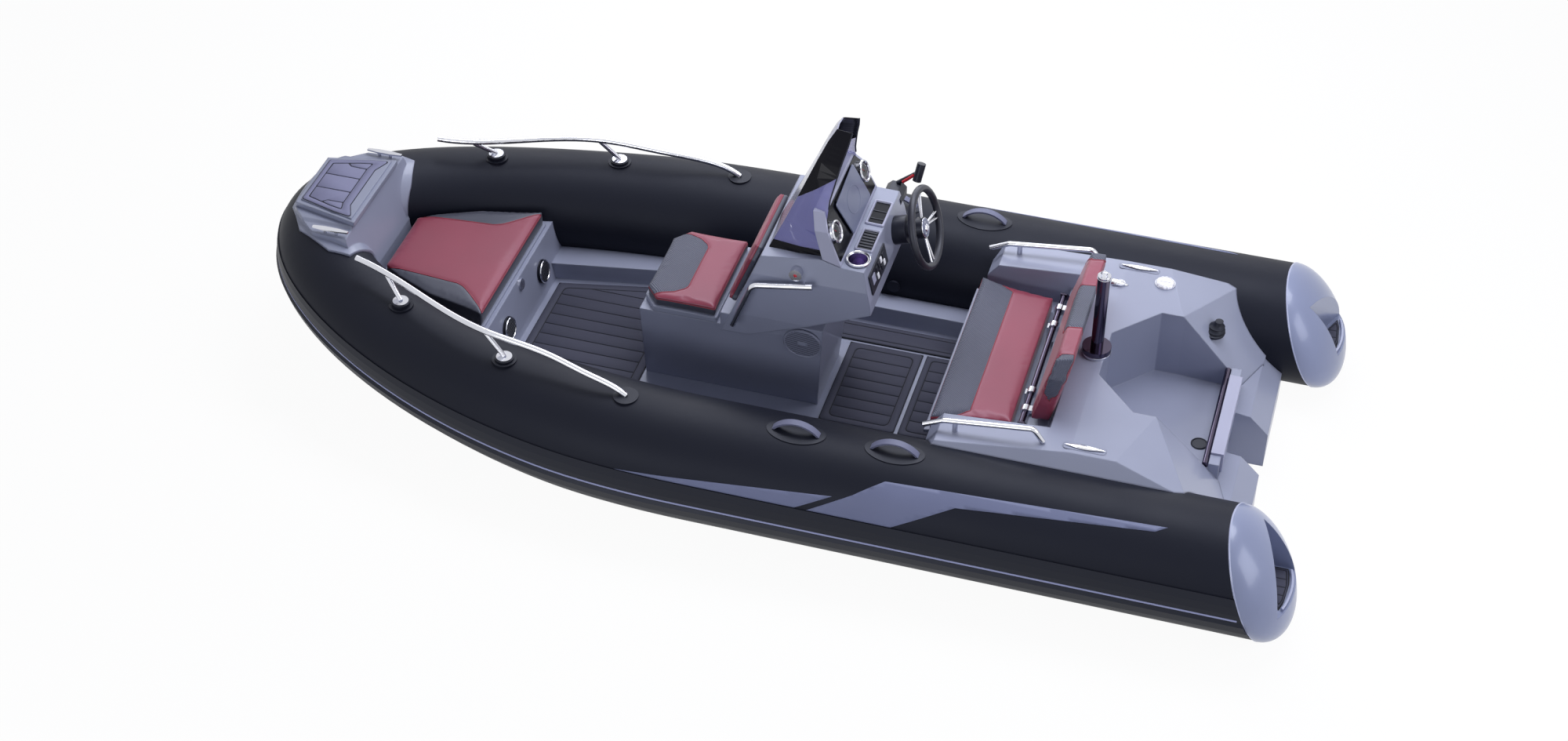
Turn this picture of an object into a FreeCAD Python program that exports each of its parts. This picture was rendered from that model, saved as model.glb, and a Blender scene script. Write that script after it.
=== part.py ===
import FreeCAD, Part
import math
import os
import Sketcher

# A 4.4 m rigid inflatable boat, in millimetres.
# X runs forward, Y to port and Z up, from the centreline at the waterline, amidships.

Vec = FreeCAD.Vector
doc = FreeCAD.newDocument("rib_boat")
sheet = doc.addObject("Spreadsheet::Sheet", "dim")
nodes = {}
rows = []


def sizes(**values):
    for name, value in values.items():
        rows.append(name)
        cell = "%d" % len(rows)
        sheet.set("A" + cell, name)
        sheet.set("B" + cell, str(value))
        sheet.setAlias("B" + cell, name)


def val(expression):
    return float(sheet.evalExpression(expression))


def node(piece, name):
    piece.Label = name
    nodes[name] = piece
    return piece


# Tube collar: one inflated tube, drawn in and lifted towards a thinner bow.
sizes(
    tube_dia=496,
    tube_axis_half_width=752,
    tube_axis_height=256,
    tube_gap=0.5,
    curve_start=150,
    bow_axis_reach=2045,
    bow_axis_rise=200,
    taper_start=600,
    bow_radius=176,
    tube_end_top=-1940,
    tube_end_lean=200,
)
# Rub strake: a band on the tube's outer side with a raised fender.
sizes(
    strake_top_angle=18,
    strake_bottom_angle=-26,
    strake_band=4,
    fender_top_angle=-6,
    fender_bottom_angle=-20,
    fender_proud=14,
)
# Tail cones: domed caps, each with a scooped step.
sizes(
    cone_radius=251,
    cone_aft=-2219,
    cone_depth=158,
    cone_round=110,
    scoop_wall=645,
    scoop_floor=210,
    scoop_front=-2052,
    scoop_front_outer=-2183,
    cone_pad=4,
)
# Hull: keel, chines, transom and the notch between the sponsons.
sizes(
    hull_top=94.7,
    keel_depth=230,
    chine_height=10,
    chine_half_width=560,
    hull_aft=-1990,
    transom_x=-1840,
    notch_half_width=120,
    sponson_height=258,
)
# Deck liner: cockpit floor, coamings and the bow seat's base.
sizes(
    floor_height=120,
    liner_bottom=95,
    coaming_height=205,
    cockpit_half_width=415,
    cockpit_bow_half_width=300,
    bow_seat_face=1138,
    bow_seat_face_top=1176,
    bow_seat_front=1742,
    bow_seat_top=352,
    stern_front=-735,
    liner_half_width=620,
    liner_bow_half_width=250,
    bow_store_half_width=235,
)
# Floor pads and the gaps between them.
sizes(
    pad_thick=6,
    pad_margin=28,
    pad_channel=16,
    console_front=540,
    console_aft=-183,
    hatch_aft=-528,
)
# Console's foot and waist.
sizes(
    console_base_half_width=165,
    console_waist=240,
)
# Stern module: side decks, bench base, splash well and transom.
sizes(
    side_deck_height=497,
    deck_height=540,
    deck_half_width=605,
    deck_edge_half_width=655,
    deck_edge_height=476,
    deck_flat_start=-1300,
    bench_half_width=478,
    bench_base_top=358,
    bench_pocket_aft=-1180,
    transom_top=338,
    transom_thick=42,
    quarter_aft=-1915,
    well_floor=235,
    well_front=-1318,
    well_half_width=312,
    bench_store_half_width=380,
)
# Outboard's pad and the round bar along the transom.
sizes(
    motor_pad_half_width=240,
    motor_pad_thick=9,
    motor_pad_drop=150,
    well_bar_radius=13,
)
# Well drain.
sizes(
    drain_radius=34,
    drain_lip=3,
)
# Bow step locker: aft face, top and front edge.
sizes(
    step_aft=1742,
    step_aft_top=1806,
    step_front_top=2085,
    step_front=2108,
    step_top=650,
    step_lid_thick=22,
    step_half_width=318,
    step_top_half_width=222,
)
# Console seat and the console's upper part.
sizes(
    seat_front=549,
    seat_aft=205,
    seat_half_width=238,
    seat_base_top=520,
    console_top=938,
    console_front_top=22,
    console_upper_half_width=292,
    console_upper_top_half_width=262,
    console_aft_top=-300,
    console_aft_mid=-393,
    console_aft_low=-425,
)
# Cup holder.
sizes(
    cup_x=-352,
    cup_y=205,
    cup_radius=41,
    cup_depth=75,
)
# Dashboard.
sizes(
    dash_half_width=252,
    dash_low_half_width=272,
    dash_foot=-300,
    dash_head=-214,
    dash_head_height=1150,
)
# Bow fittings, rails, tube handles and valves.
sizes(
    step_lid_gap=0.3,
    step_shoulder=636,
    step_flange=11,
    cleat_length=157,
    cleat_half_width=11,
    cleat_thick=7,
    cleat_post_radius=7,
    rail_radius=12.5,
    rail_post_radius=10,
    base_radius=50,
    base_cap_radius=32,
    handle_length=190,
    handle_rise=46,
    handle_width=30,
    handle_thick=7,
    patch_thick=3,
    valve_radius=28,
    valve_proud=9,
)
# Lids, cushions, gauges, display and windshield.
sizes(
    seat_lid_thick=12,
    bow_cushion_top=436,
    bow_cushion_aft=1186,
    bow_cushion_front=1715,
    seat_cushion_top=591,
    console_lid_top=545,
    back_pad_thick=34,
    gauge_radius=43,
    gauge_y=204,
    gauge_proud=12,
    display_middle=-28,
    display_half_width=128,
    display_proud=9,
    nav_light_radius=26,
    shield_thick=6,
)
# Steering wheel, helm and throttle.
sizes(
    wheel_x=-537,
    wheel_y=-140,
    wheel_z=892,
    wheel_tilt=18,
    wheel_radius=157,
    grip_radius=15,
    hub_radius=44,
    hub_depth=26,
    helm_radius=58,
    spoke_radius=5,
    throttle_y=-338,
    lever_radius=9,
    lever_grip_radius=18,
)
# Bench, backrest and the fittings on the stern.
sizes(
    hinge_x=-1072,
    hinge_z=452,
    hinge_radius=12,
    bench_front=-706,
    bench_top=450,
    bench_front_half_width=462,
    bench_aft_half_width=405,
    bench_split=-863,
    bench_lid_thick=14,
    bench_aft=-1046,
    back_half_width=400,
    back_bottom_front=-1096,
    back_bottom_height=446,
    back_rise=322,
    back_lean=90,
    back_thick=76,
    stern_rail_radius=11,
    stern_rail_y=571,
    stern_cleat_x=-1350,
    stern_cleat_length=168,
    filler_radius=42,
    vent_radius=20,
    mast_x=-1281,
    mast_height=926,
    mast_radius=25,
    mast_foot_radius=58,
    boot_x=-1700,
    boot_y=-380,
    boot_radius=44,
)
doc.recompute()


# Ways to make a piece

def origin_plane(body, role):
    return [plane for plane in body.Origin.OriginFeatures if plane.Role == role][0]


def outline(body, role, corners, lift):
    sketch = body.newObject("Sketcher::SketchObject", body.Name + "_outline")
    sketch.AttachmentSupport = [(origin_plane(body, role), "")]
    sketch.MapMode = "FlatFace"
    sketch.setExpression("AttachmentOffset.Base.z", lift)
    places = [Vec(val(u), val(v), 0) for u, v in corners]
    count = len(corners)
    for i in range(count):
        sketch.addGeometry(Part.LineSegment(places[i], places[(i + 1) % count]), False)
    for i in range(count):
        sketch.addConstraint(Sketcher.Constraint("Coincident", i, 2, (i + 1) % count, 1))
        across = sketch.addConstraint(Sketcher.Constraint("DistanceX", -1, 1, i, 1, places[i].x))
        sketch.setExpression("Constraints[%d]" % across, corners[i][0])
        along = sketch.addConstraint(Sketcher.Constraint("DistanceY", -1, 1, i, 1, places[i].y))
        sketch.setExpression("Constraints[%d]" % along, corners[i][1])
    return sketch


def padded_body(name, role, corners, lift, length, centred):
    body = doc.addObject("PartDesign::Body", name)
    sketch = outline(body, role, corners, lift)
    pad = body.newObject("PartDesign::Pad", name + "_pad")
    pad.Profile = sketch
    pad.setExpression("Length", length)
    pad.Midplane = centred
    doc.recompute()
    return body


def side_prism(name, corners, low, high):
    """A side outline (X, Z) made thick from y = low to y = high."""
    middle = "-((%s) + (%s)) / 2" % (low, high)
    return padded_body(name, "XZ_Plane", corners, middle, "(%s) - (%s)" % (high, low), True)


def plan_prism(name, corners, low, high):
    """A plan outline (X, Y) made thick from z = low to z = high."""
    return padded_body(name, "XY_Plane", corners, low, "(%s) - (%s)" % (high, low), False)


def cross_prism(name, corners, low, high):
    """A cross outline (Y, Z) made thick from x = low to x = high."""
    return padded_body(name, "YZ_Plane", corners, low, "(%s) - (%s)" % (high, low), False)


def both_sides(corners):
    """A plan outline, given on its port side from aft to forward, closed on both sides."""
    return list(corners) + [(u, "-(%s)" % v) for u, v in reversed(corners)]


def box(name, x, y, z):
    piece = doc.addObject("Part::Box", name)
    for prop, pair in (("Length", x), ("Width", y), ("Height", z)):
        piece.setExpression(prop, "(%s) - (%s)" % (pair[1], pair[0]))
    for prop, pair in (("x", x), ("y", y), ("z", z)):
        piece.setExpression("Placement.Base." + prop, pair[0])
    doc.recompute()
    return piece


def turned(axis, degrees):
    return FreeCAD.Rotation(axis, degrees)


def cylinder(name, foot, radius, length, turn=None):
    piece = doc.addObject("Part::Cylinder", name)
    piece.setExpression("Radius", radius)
    piece.setExpression("Height", length)
    if turn is not None:
        piece.Placement.Rotation = turn
    for prop, place in zip("xyz", foot):
        piece.setExpression("Placement.Base." + prop, place)
    doc.recompute()
    return piece


def computed(name, shape):
    piece = doc.addObject("Part::Feature", name)
    piece.Shape = shape
    piece.Placement = FreeCAD.Placement()
    return piece


def cut(name, base, *tools):
    for count, tool in enumerate(tools):
        last = count == len(tools) - 1
        piece = doc.addObject("Part::Cut", name if last else "%s_cut_%d" % (name, count))
        piece.Base = base
        piece.Tool = tool
        base = piece
    doc.recompute()
    return base


def fuse(name, *pieces):
    piece = doc.addObject("Part::MultiFuse", name)
    piece.Shapes = list(pieces)
    piece.Refine = True
    doc.recompute()
    return piece


def common(name, *pieces):
    piece = doc.addObject("Part::MultiCommon", name)
    piece.Shapes = list(pieces)
    doc.recompute()
    return piece


def mirror(name, piece):
    other = doc.addObject("Part::Mirroring", name)
    other.Source = piece
    other.Normal = Vec(0, 1, 0)
    doc.recompute()
    return other


def group(name, *pieces):
    piece = doc.addObject("Part::Compound", name)
    piece.Links = list(pieces)
    doc.recompute()
    return piece


def pair(name, piece):
    return group(name, piece, mirror(name + "_mirror", piece))


def main_solid(name, piece):
    """The largest solid of a cut piece, without the slivers that curved cuts leave."""
    return computed(name, max(piece.Shape.Solids, key=lambda solid: solid.Volume))


def rod(points, radius, bend):
    """A round bar along straight runs with bends of one radius between them."""
    edges = []
    start = points[0]
    for before, corner, after in zip(points, points[1:], points[2:]):
        back = (before - corner).normalize()
        on = (after - corner).normalize()
        turn = math.pi - back.getAngle(on)
        reach = bend * math.tan(turn / 2)
        first = corner + back * reach
        last = corner + on * reach
        inward = (back + on).normalize()
        middle = corner + inward * (bend / math.cos(turn / 2) - bend)
        edges.append(Part.LineSegment(start, first).toShape())
        edges.append(Part.Arc(first, middle, last).toShape())
        start = last
    edges.append(Part.LineSegment(start, points[-1]).toShape())
    path = Part.Wire(edges)
    ring = Part.Wire(Part.Circle(points[0], points[1] - points[0], radius).toShape())
    return path.makePipeShell([ring], True, False)


def bar(start, end, radius):
    way = end - start
    return Part.makeCylinder(radius, way.Length, start, way)


def block_over(a, b, c, size):
    """A block standing on the leaning plane through the points a, b and c."""
    normal = (b - a).cross(c - a).normalize()
    if normal.z < 0:
        normal = -normal
    along = (b - a).normalize()
    side = normal.cross(along)
    corner = a - along * size - side * size
    face = Part.makePolygon([corner, corner + along * size * 2, corner + (along + side) * size * 2,
                             corner + side * size * 2, corner])
    return Part.Face(face).extrude(normal * size)


# Tube collar: one inflated tube in coated fabric, from stern to stern round the bow.
CURVE_POWER = 1.95
RISE_POWER = 2.5
TAPER_POWER = 1.3
STATION_GAP = 210
RING_STEPS = 24


def forward_share(x, start):
    """How far x is from a starting place towards the stem, from 0 to 1."""
    return max(0.0, (x - val(start)) / val("dim.bow_axis_reach - (%s)" % start))


def axis_at(x):
    """The port tube's axis at a given x."""
    forward = forward_share(x, "dim.curve_start")
    across = math.sqrt(max(0.0, 1 - forward ** CURVE_POWER))
    return Vec(x, across * val("dim.tube_axis_half_width"),
               val("dim.tube_axis_height") + val("dim.bow_axis_rise") * forward ** RISE_POWER)


def tube_radius(x):
    """The tube grows thinner towards the stem."""
    taper = forward_share(x, "dim.taper_start") ** TAPER_POWER
    return val("dim.tube_dia / 2") - (val("dim.tube_dia / 2") - val("dim.bow_radius")) * taper


def bow_axis(share):
    """The axis round the bow: 0 where the port side starts to curve, 1 at the stem, 2 to starboard."""
    angle = min(share, 2 - share) * math.pi / 2
    forward = math.sin(angle) ** (2 / CURVE_POWER)
    start = val("dim.curve_start")
    place = axis_at(start + forward * (val("dim.bow_axis_reach") - start))
    place.y = math.cos(angle) * val("dim.tube_axis_half_width") * (1 if share <= 1 else -1)
    return place


def tube_stations(stern_x):
    """Even places along the axis with the tube's direction there, from the port stern to the starboard stern."""
    across = val("dim.tube_axis_half_width")
    height = val("dim.tube_axis_height")
    line = [Vec(stern_x, across, height)] + [bow_axis(i / 200) for i in range(401)] + [Vec(stern_x, -across, height)]
    far = [0.0]
    for start, end in zip(line, line[1:]):
        far.append(far[-1] + start.distanceToPoint(end))
    count = 2 * round(far[-1] / STATION_GAP / 2)
    stations = []
    piece = 0
    for i in range(count + 1):
        want = far[-1] * i / count
        while piece < len(far) - 2 and far[piece + 1] < want:
            piece += 1
        run = line[piece + 1] - line[piece]
        place = line[piece] + run * ((want - far[piece]) / run.Length)
        stations.append((place, run.normalize()))
    return stations


def tube_rows(stern_x, profile):
    """The profile's points at every station. A profile takes the place, two directions and the radius."""
    rows = []
    for place, way in tube_stations(stern_x):
        out = Vec(0, 0, 1).cross(way).normalize()
        up = way.cross(out)
        rows.append(profile(place, out, up, tube_radius(place.x)))
    return rows


def lean_end(row):
    """The tube's ends lean forward at the foot."""
    slope = val("dim.tube_end_lean / dim.tube_dia")
    top = val("dim.tube_axis_height + dim.tube_dia / 2")
    return [Vec(val("dim.tube_end_top") - slope * (top - point.z), point.y, point.z) for point in row]


def tube_solid(extra, trimmed=False):
    """The tube grown by a little, one smooth skin through rings of points, closed by a plane at each end."""

    def ring(place, out, up, radius):
        turns = [2 * math.pi * i / RING_STEPS for i in range(RING_STEPS + 1)]
        return [place + (out * math.cos(turn) + up * math.sin(turn)) * (radius + extra) for turn in turns]

    rows = tube_rows(val("dim.tube_end_top") + (60 if trimmed else -500), ring)
    if trimmed:
        rows[0] = lean_end(rows[0])
        rows[-1] = lean_end(rows[-1])
    skin = Part.BSplineSurface()
    skin.interpolate(rows)
    first, last, seam, round_end = skin.bounds()
    sides = []
    for low, high in ((seam, (seam + round_end) / 2), ((seam + round_end) / 2, round_end)):
        side = skin.copy()
        side.segment(first, last, low, high)
        sides.append(side)
    caps = [Part.Face(Part.Wire([side.uIso(end).toShape() for side in sides])) for end in (first, last)]
    faces = Part.makeCompound([side.toShape() for side in sides] + caps)
    faces.sewShape(0.01)
    solid = Part.makeSolid(faces.Shells[0])
    if solid.Volume < 0:
        solid.reverse()
    return solid


def along_tube(profile):
    """A solid lofted through a many-sided profile at every station, its ends leaning with the tube's."""
    rows = tube_rows(val("dim.tube_end_top") + 60, profile)
    rows[0] = lean_end(rows[0])
    rows[-1] = lean_end(rows[-1])
    return Part.makeLoft([Part.makePolygon(row + row[:1]) for row in rows], True, False)


end_slope = "dim.tube_end_lean / dim.tube_dia"
end_top = "dim.tube_axis_height + dim.tube_dia / 2"


def end_x(z, shift="0"):
    """Where the leaning end of the tube stands at a height."""
    return "dim.tube_end_top + (%s) - (%s) * (%s - (%s))" % (shift, end_slope, end_top, z)


HIGH = "900"
LOW = "-400"
whole_tube = computed("whole_tube", tube_solid(0, trimmed=True))
tube_clear = computed("tube_clear", tube_solid(val("dim.tube_gap")))
node(whole_tube, "tube_collar")


# Rub strake: a wide fabric band with a raised rubber fender along the outside of the tube.


def strake_profile(place, out, up, radius):
    inner = radius - val("dim.strake_band")
    band = radius + val("dim.tube_gap + dim.strake_band")
    proud = radius + val("dim.tube_gap + dim.fender_proud")
    top = val("dim.strake_top_angle")
    bottom = val("dim.strake_bottom_angle")
    high = val("dim.fender_top_angle")
    low = val("dim.fender_bottom_angle")
    ease = (high - low) / 5
    corners = [(top, inner), (top, band), (top - 8, band), (high + 8, band), (high, band), (high - ease, proud),
               (low + ease, proud), (low, band), (bottom, band), (bottom, inner), ((top + bottom) / 2, inner)]
    turns = [(math.radians(angle), reach) for angle, reach in corners]
    return [place + (out * math.cos(turn) + up * math.sin(turn)) * reach for turn, reach in turns]


whole_strake = computed("whole_strake", along_tube(strake_profile))
node(cut("rub_strake_cut", whole_strake, tube_clear), "rub_strake")

# Tail cones: moulded caps on the tube ends, each with a scooped step and grip.
behind_tube = side_prism("behind_tube_ends", [
    (end_x(HIGH, "-dim.tube_gap"), HIGH),
    (end_x(LOW, "-dim.tube_gap"), LOW),
    ("-3200", LOW),
    ("-3200", HIGH),
], "-1300", "1300")


def dome(depth, radius):
    """A ball stretched and leaned to the tube's leaning end, on the port tube's axis."""
    lean = val(end_slope) * radius
    middle = val(end_x("dim.tube_axis_height"))
    stretch = FreeCAD.Matrix(depth, 0, lean, middle, 0, radius, 0, val("dim.tube_axis_half_width"),
                             0, 0, radius, val("dim.tube_axis_height"), 0, 0, 0, 1)
    return Part.makeSphere(1).transformGeometry(stretch)


cone_dome = computed("cone_dome", dome(val("dim.cone_depth"), val("dim.cone_radius")))
cone_blank = common("cone_blank", cone_dome, behind_tube)
scoop = plan_prism("cone_scoop", [
    ("dim.scoop_front", "dim.scoop_wall"),
    ("dim.scoop_front_outer", "dim.tube_axis_half_width + dim.cone_radius * 0.8"),
    ("dim.cone_aft - 60", "dim.tube_axis_half_width + dim.cone_radius * 0.8"),
    ("dim.cone_aft - 60", "dim.scoop_wall"),
], "dim.scoop_floor", HIGH)
cone_cut = cut("cone_port_cut", cone_blank, scoop)
node(cone_cut, "tail_cone_port")
node(mirror("cone_starboard", cone_cut), "tail_cone_starboard")
cone_pad = plan_prism("cone_pad_port", [
    ("dim.scoop_front - 16", "dim.scoop_wall + 8"),
    ("dim.scoop_front_outer - 8", "dim.tube_axis_half_width + dim.cone_radius * 0.7"),
    ("dim.cone_aft + 40", "dim.tube_axis_half_width + dim.cone_round"),
    ("dim.cone_aft + 24", "dim.scoop_wall + 8"),
], "dim.scoop_floor", "dim.scoop_floor + dim.cone_pad")
pad_room = computed("cone_pad_room", dome(val("dim.cone_depth") - 24, val("dim.cone_radius") - 20))
node(pair("cone_pads_pair", common("cone_pad_cut", cone_pad, pad_room)), "cone_pads")

# Hull: a deep-vee moulding, its two sponsons running aft past the outboard's notch.


def hull_section(x, keel, chine_y, chine_z, top_y, top):
    points = [Vec(x, 0, keel), Vec(x, chine_y, chine_z), Vec(x, top_y, top), Vec(x, -top_y, top), Vec(x, -chine_y, chine_z)]
    return Part.makePolygon(points + points[:1])


def hull_body():
    """Cross sections from the sponsons to the stem, the top edge rising with the underside of the tube."""
    depth = -val("dim.keel_depth")
    width = val("dim.chine_half_width")
    chine = val("dim.chine_height")
    top = val("dim.hull_top")
    stem = val("dim.bow_axis_reach")
    edge = width + 40

    def under(x, lift):
        return max(top, axis_at(x).z - tube_radius(x) + lift)

    stations = [(x, depth, width, chine, edge, top) for x in (val("dim.hull_aft"), val("dim.hull_aft") * 0.4)]
    for share, keel, chine_share, chine_lift, edge_share in (
            (0.2, 0.98, 1, 6, 0.93), (0.5, 0.8, 0.9, 30, 0.93), (0.72, 0.5, 0.62, 66, 0.9),
            (0.86, 0.12, 0.34, 130, 0.86), (0.94, -0.42, 0.14, 190, 0.8), (0.99, -1.06, 0.03, 250, 0.45)):
        x = stem * share
        side = min(edge, axis_at(x).y * edge_share)
        rise = under(x, 24)
        stations.append((x, depth * keel, width * chine_share, min(chine + chine_lift, rise - 12), side, rise))
    return Part.makeLoft([hull_section(*station) for station in stations], True, True)


vee = computed("hull_vee", hull_body())
sponsons = side_prism("hull_sponsons", [
    ("dim.transom_x", "dim.hull_top - 60"),
    ("dim.transom_x", "dim.sponson_height"),
    ("dim.transom_x - 70", "dim.sponson_height - 10"),
    ("dim.hull_aft", "dim.sponson_height - 90"),
    ("dim.hull_aft", "dim.hull_top - 60"),
], "-dim.chine_half_width", "dim.chine_half_width")
notch = box("hull_notch", ("dim.hull_aft - 50", "dim.transom_x"), ("-dim.notch_half_width", "dim.notch_half_width"),
            (LOW, HIGH))
hull_trimmed = cut("hull_trimmed", fuse("hull_whole", vee, sponsons), tube_clear, notch)

# Deck liner: the speckled inner moulding with the cockpit well, its coamings and the bow seat's base.
liner_plan = both_sides([
    ("dim.stern_front + dim.tube_gap", "dim.liner_half_width"),
    ("dim.bow_seat_face - 400", "dim.liner_half_width"),
    ("dim.bow_seat_face", "dim.liner_half_width - 70"),
    ("dim.bow_seat_front - 300", "dim.liner_half_width - 210"),
    ("dim.bow_seat_front - 60", "dim.liner_bow_half_width"),
    ("dim.bow_seat_front", "dim.liner_bow_half_width * 0.6"),
])
liner_room = plan_prism("liner_room", liner_plan, "dim.hull_top", HIGH)
node(main_solid("hull_main", cut("hull_cut", hull_trimmed, liner_room)), "hull")
tray = plan_prism("liner_tray", liner_plan, "dim.liner_bottom", "dim.coaming_height")
bow_box = side_prism("liner_bow_box", [
    ("dim.bow_seat_face", "dim.floor_height"),
    ("dim.bow_seat_face_top", "dim.bow_seat_top"),
    ("dim.bow_seat_front", "dim.bow_seat_top"),
    ("dim.bow_seat_front", "dim.floor_height"),
], "-dim.liner_half_width", "dim.liner_half_width")
bow_block = common("liner_bow_block", bow_box, plan_prism("liner_bow_plan", liner_plan, "dim.floor_height", HIGH))
cockpit_outline = both_sides([
    ("dim.stern_front - 10", "dim.cockpit_half_width"),
    ("dim.bow_seat_face * 0.45", "dim.cockpit_half_width"),
    ("dim.bow_seat_face_top + 20", "dim.cockpit_bow_half_width - 10"),
])
cockpit = plan_prism("cockpit_well", cockpit_outline, "dim.floor_height", "dim.coaming_height + 1")
bow_store = plan_prism("bow_store", both_sides([
    ("dim.bow_seat_face_top + 50", "dim.bow_store_half_width"),
    ("dim.bow_seat_front - 260", "dim.bow_store_half_width"),
    ("dim.bow_seat_front - 110", "dim.bow_store_half_width * 0.45"),
]), "dim.floor_height", "dim.bow_seat_top + 1")
liner_cut = cut("liner_cut", fuse("liner_whole", cut("liner_well", tray, cockpit), bow_block), bow_store, tube_clear)
node(main_solid("liner_main", liner_cut), "deck_liner")

# Floor pads: foam decking in three fields, with the aft hatch between two channels.
front_pad = plan_prism("front_pad", both_sides([
    ("dim.console_front + dim.pad_margin", "dim.cockpit_half_width - dim.pad_margin"),
    ("dim.bow_seat_face - dim.pad_margin", "dim.cockpit_bow_half_width - dim.pad_margin"),
]), "dim.floor_height", "dim.floor_height + dim.pad_thick")
side_pad = plan_prism("side_pad", [
    ("dim.console_aft - 20", "dim.console_waist + 30"),
    ("dim.console_front + dim.pad_margin - dim.pad_channel", "dim.console_waist + 30"),
    ("dim.console_front + dim.pad_margin - dim.pad_channel", "dim.cockpit_half_width - dim.pad_margin"),
    ("dim.stern_front + dim.pad_margin", "dim.cockpit_half_width - dim.pad_margin"),
    ("dim.stern_front + dim.pad_margin", "dim.console_waist + 30"),
], "dim.floor_height", "dim.floor_height + dim.pad_thick")
hatch_pad = plan_prism("hatch_pad", both_sides([
    ("dim.hatch_aft", "dim.console_waist + 30 - dim.pad_channel"),
    ("dim.console_aft - dim.pad_margin", "dim.console_waist + 30 - dim.pad_channel"),
]), "dim.floor_height", "dim.floor_height + dim.pad_thick")
aft_pad = plan_prism("aft_pad", both_sides([
    ("dim.stern_front + dim.pad_margin", "dim.console_waist + 30 - dim.pad_channel"),
    ("dim.hatch_aft - dim.pad_channel", "dim.console_waist + 30 - dim.pad_channel"),
]), "dim.floor_height", "dim.floor_height + dim.pad_thick")
node(group("floor_pad_set", front_pad, pair("side_pads", side_pad), hatch_pad, aft_pad), "floor_pads")

# Stern module: quarter decks, bench base, splash well and transom in one moulding.
module_side = side_prism("module_side", [
    ("dim.stern_front", "dim.liner_bottom"),
    ("dim.stern_front", "dim.side_deck_height - 60"),
    ("dim.stern_front - 45", "dim.side_deck_height"),
    ("dim.deck_flat_start", "dim.deck_height"),
    ("dim.quarter_aft", "dim.deck_height"),
    ("dim.quarter_aft", "dim.liner_bottom"),
], "-dim.deck_edge_half_width", "dim.deck_edge_half_width")
module_cross = cross_prism("module_cross", [
    ("-dim.deck_edge_half_width", "dim.liner_bottom"),
    ("-dim.deck_edge_half_width", "dim.deck_edge_height"),
    ("-dim.deck_half_width", "dim.deck_height"),
    ("dim.deck_half_width", "dim.deck_height"),
    ("dim.deck_edge_half_width", "dim.deck_edge_height"),
    ("dim.deck_edge_half_width", "dim.liner_bottom"),
], "dim.quarter_aft - 10", "dim.stern_front + 10")
module = common("module_blank", module_side, module_cross)
bench_pocket = side_prism("bench_pocket", [
    ("dim.stern_front + 10", "dim.bench_base_top"),
    ("dim.stern_front + 10", HIGH),
    ("dim.bench_pocket_aft - 110", HIGH),
    ("dim.bench_pocket_aft", "dim.side_deck_height - 40"),
    ("dim.bench_pocket_aft + 90", "dim.side_deck_height - 55"),
    ("dim.bench_pocket_aft + 90", "dim.bench_base_top"),
], "-dim.bench_half_width", "dim.bench_half_width")
bench_store = box("bench_store", ("dim.bench_pocket_aft + 140", "dim.stern_front - 40"),
                  ("-dim.bench_store_half_width", "dim.bench_store_half_width"),
                  ("dim.floor_height + 20", "dim.bench_base_top + 1"))
well_plan = plan_prism("well_plan", both_sides([
    ("dim.transom_x + dim.transom_thick", "dim.well_half_width - 15"),
    ("dim.well_front - 265", "dim.well_half_width"),
    ("dim.well_front - 170", "dim.well_half_width"),
    ("dim.well_front", "dim.well_half_width * 0.42"),
]), "dim.well_floor", HIGH)
motor_gap = side_prism("motor_gap", [
    ("dim.transom_x + dim.transom_thick + 10", "dim.transom_top"),
    ("dim.transom_x + dim.transom_thick + 10", HIGH),
    ("dim.quarter_aft - 20", HIGH),
    ("dim.quarter_aft - 20", LOW),
    ("dim.transom_x", LOW),
    ("dim.transom_x", "dim.transom_top"),
], "-dim.well_half_width + 15", "dim.well_half_width - 15")


def quarter_cutters():
    """Two leaning planes that fall from the port quarter deck to the transom and the tube."""
    deck = val("dim.deck_height")
    aft_inner = Vec(val("dim.well_front - 259"), val("dim.well_half_width"), deck)
    aft_outer = Vec(val("dim.well_front - 158"), val("dim.deck_half_width"), deck)
    on_tube = Vec(val("dim.well_front - 424"), 625, 478)
    at_transom = Vec(val("dim.transom_x + 56"), val("dim.well_half_width + 28"), val("dim.transom_top"))
    first = block_over(aft_inner, on_tube, aft_outer, 700)
    second = block_over(aft_inner, at_transom, on_tube, 700)
    side_only = Part.makeBox(900, 600, 900, Vec(-2100, val("dim.well_half_width") - 15, 0))
    return first.fuse(second).common(side_only)


quarter_port = computed("quarter_port", quarter_cutters())
node(cut("stern_module_cut", module, bench_pocket, bench_store, well_plan, motor_gap, quarter_port,
         mirror("quarter_starboard", quarter_port), sponsons, tube_clear), "stern_module")

# Outboard pad: the hard plate on the transom that the engine's clamp screws bear on.
pad_rear = box("motor_pad_rear", ("dim.transom_x - dim.motor_pad_thick", "dim.transom_x"),
               ("-dim.motor_pad_half_width", "dim.motor_pad_half_width"),
               ("dim.transom_top - dim.motor_pad_drop", "dim.transom_top + dim.motor_pad_thick"))
pad_top = box("motor_pad_top", ("dim.transom_x", "dim.transom_x + dim.transom_thick"),
              ("-dim.motor_pad_half_width", "dim.motor_pad_half_width"),
              ("dim.transom_top", "dim.transom_top + dim.motor_pad_thick"))
node(cut("outboard_pad_cut", fuse("outboard_pad_whole", pad_rear, pad_top), sponsons), "outboard_pad")
node(cylinder("well_bar_round", ("dim.transom_x + dim.transom_thick + dim.well_bar_radius",
                                 "dim.well_half_width - 20", "dim.transom_top - dim.well_bar_radius"),
              "dim.well_bar_radius", "2 * (dim.well_half_width - 20)", turned(Vec(1, 0, 0), 90)), "well_bar")
node(cylinder("drain_cap", ("dim.transom_x + dim.transom_thick + 60", "80", "dim.well_floor"),
              "dim.drain_radius", "dim.drain_lip"), "well_drain")


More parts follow.
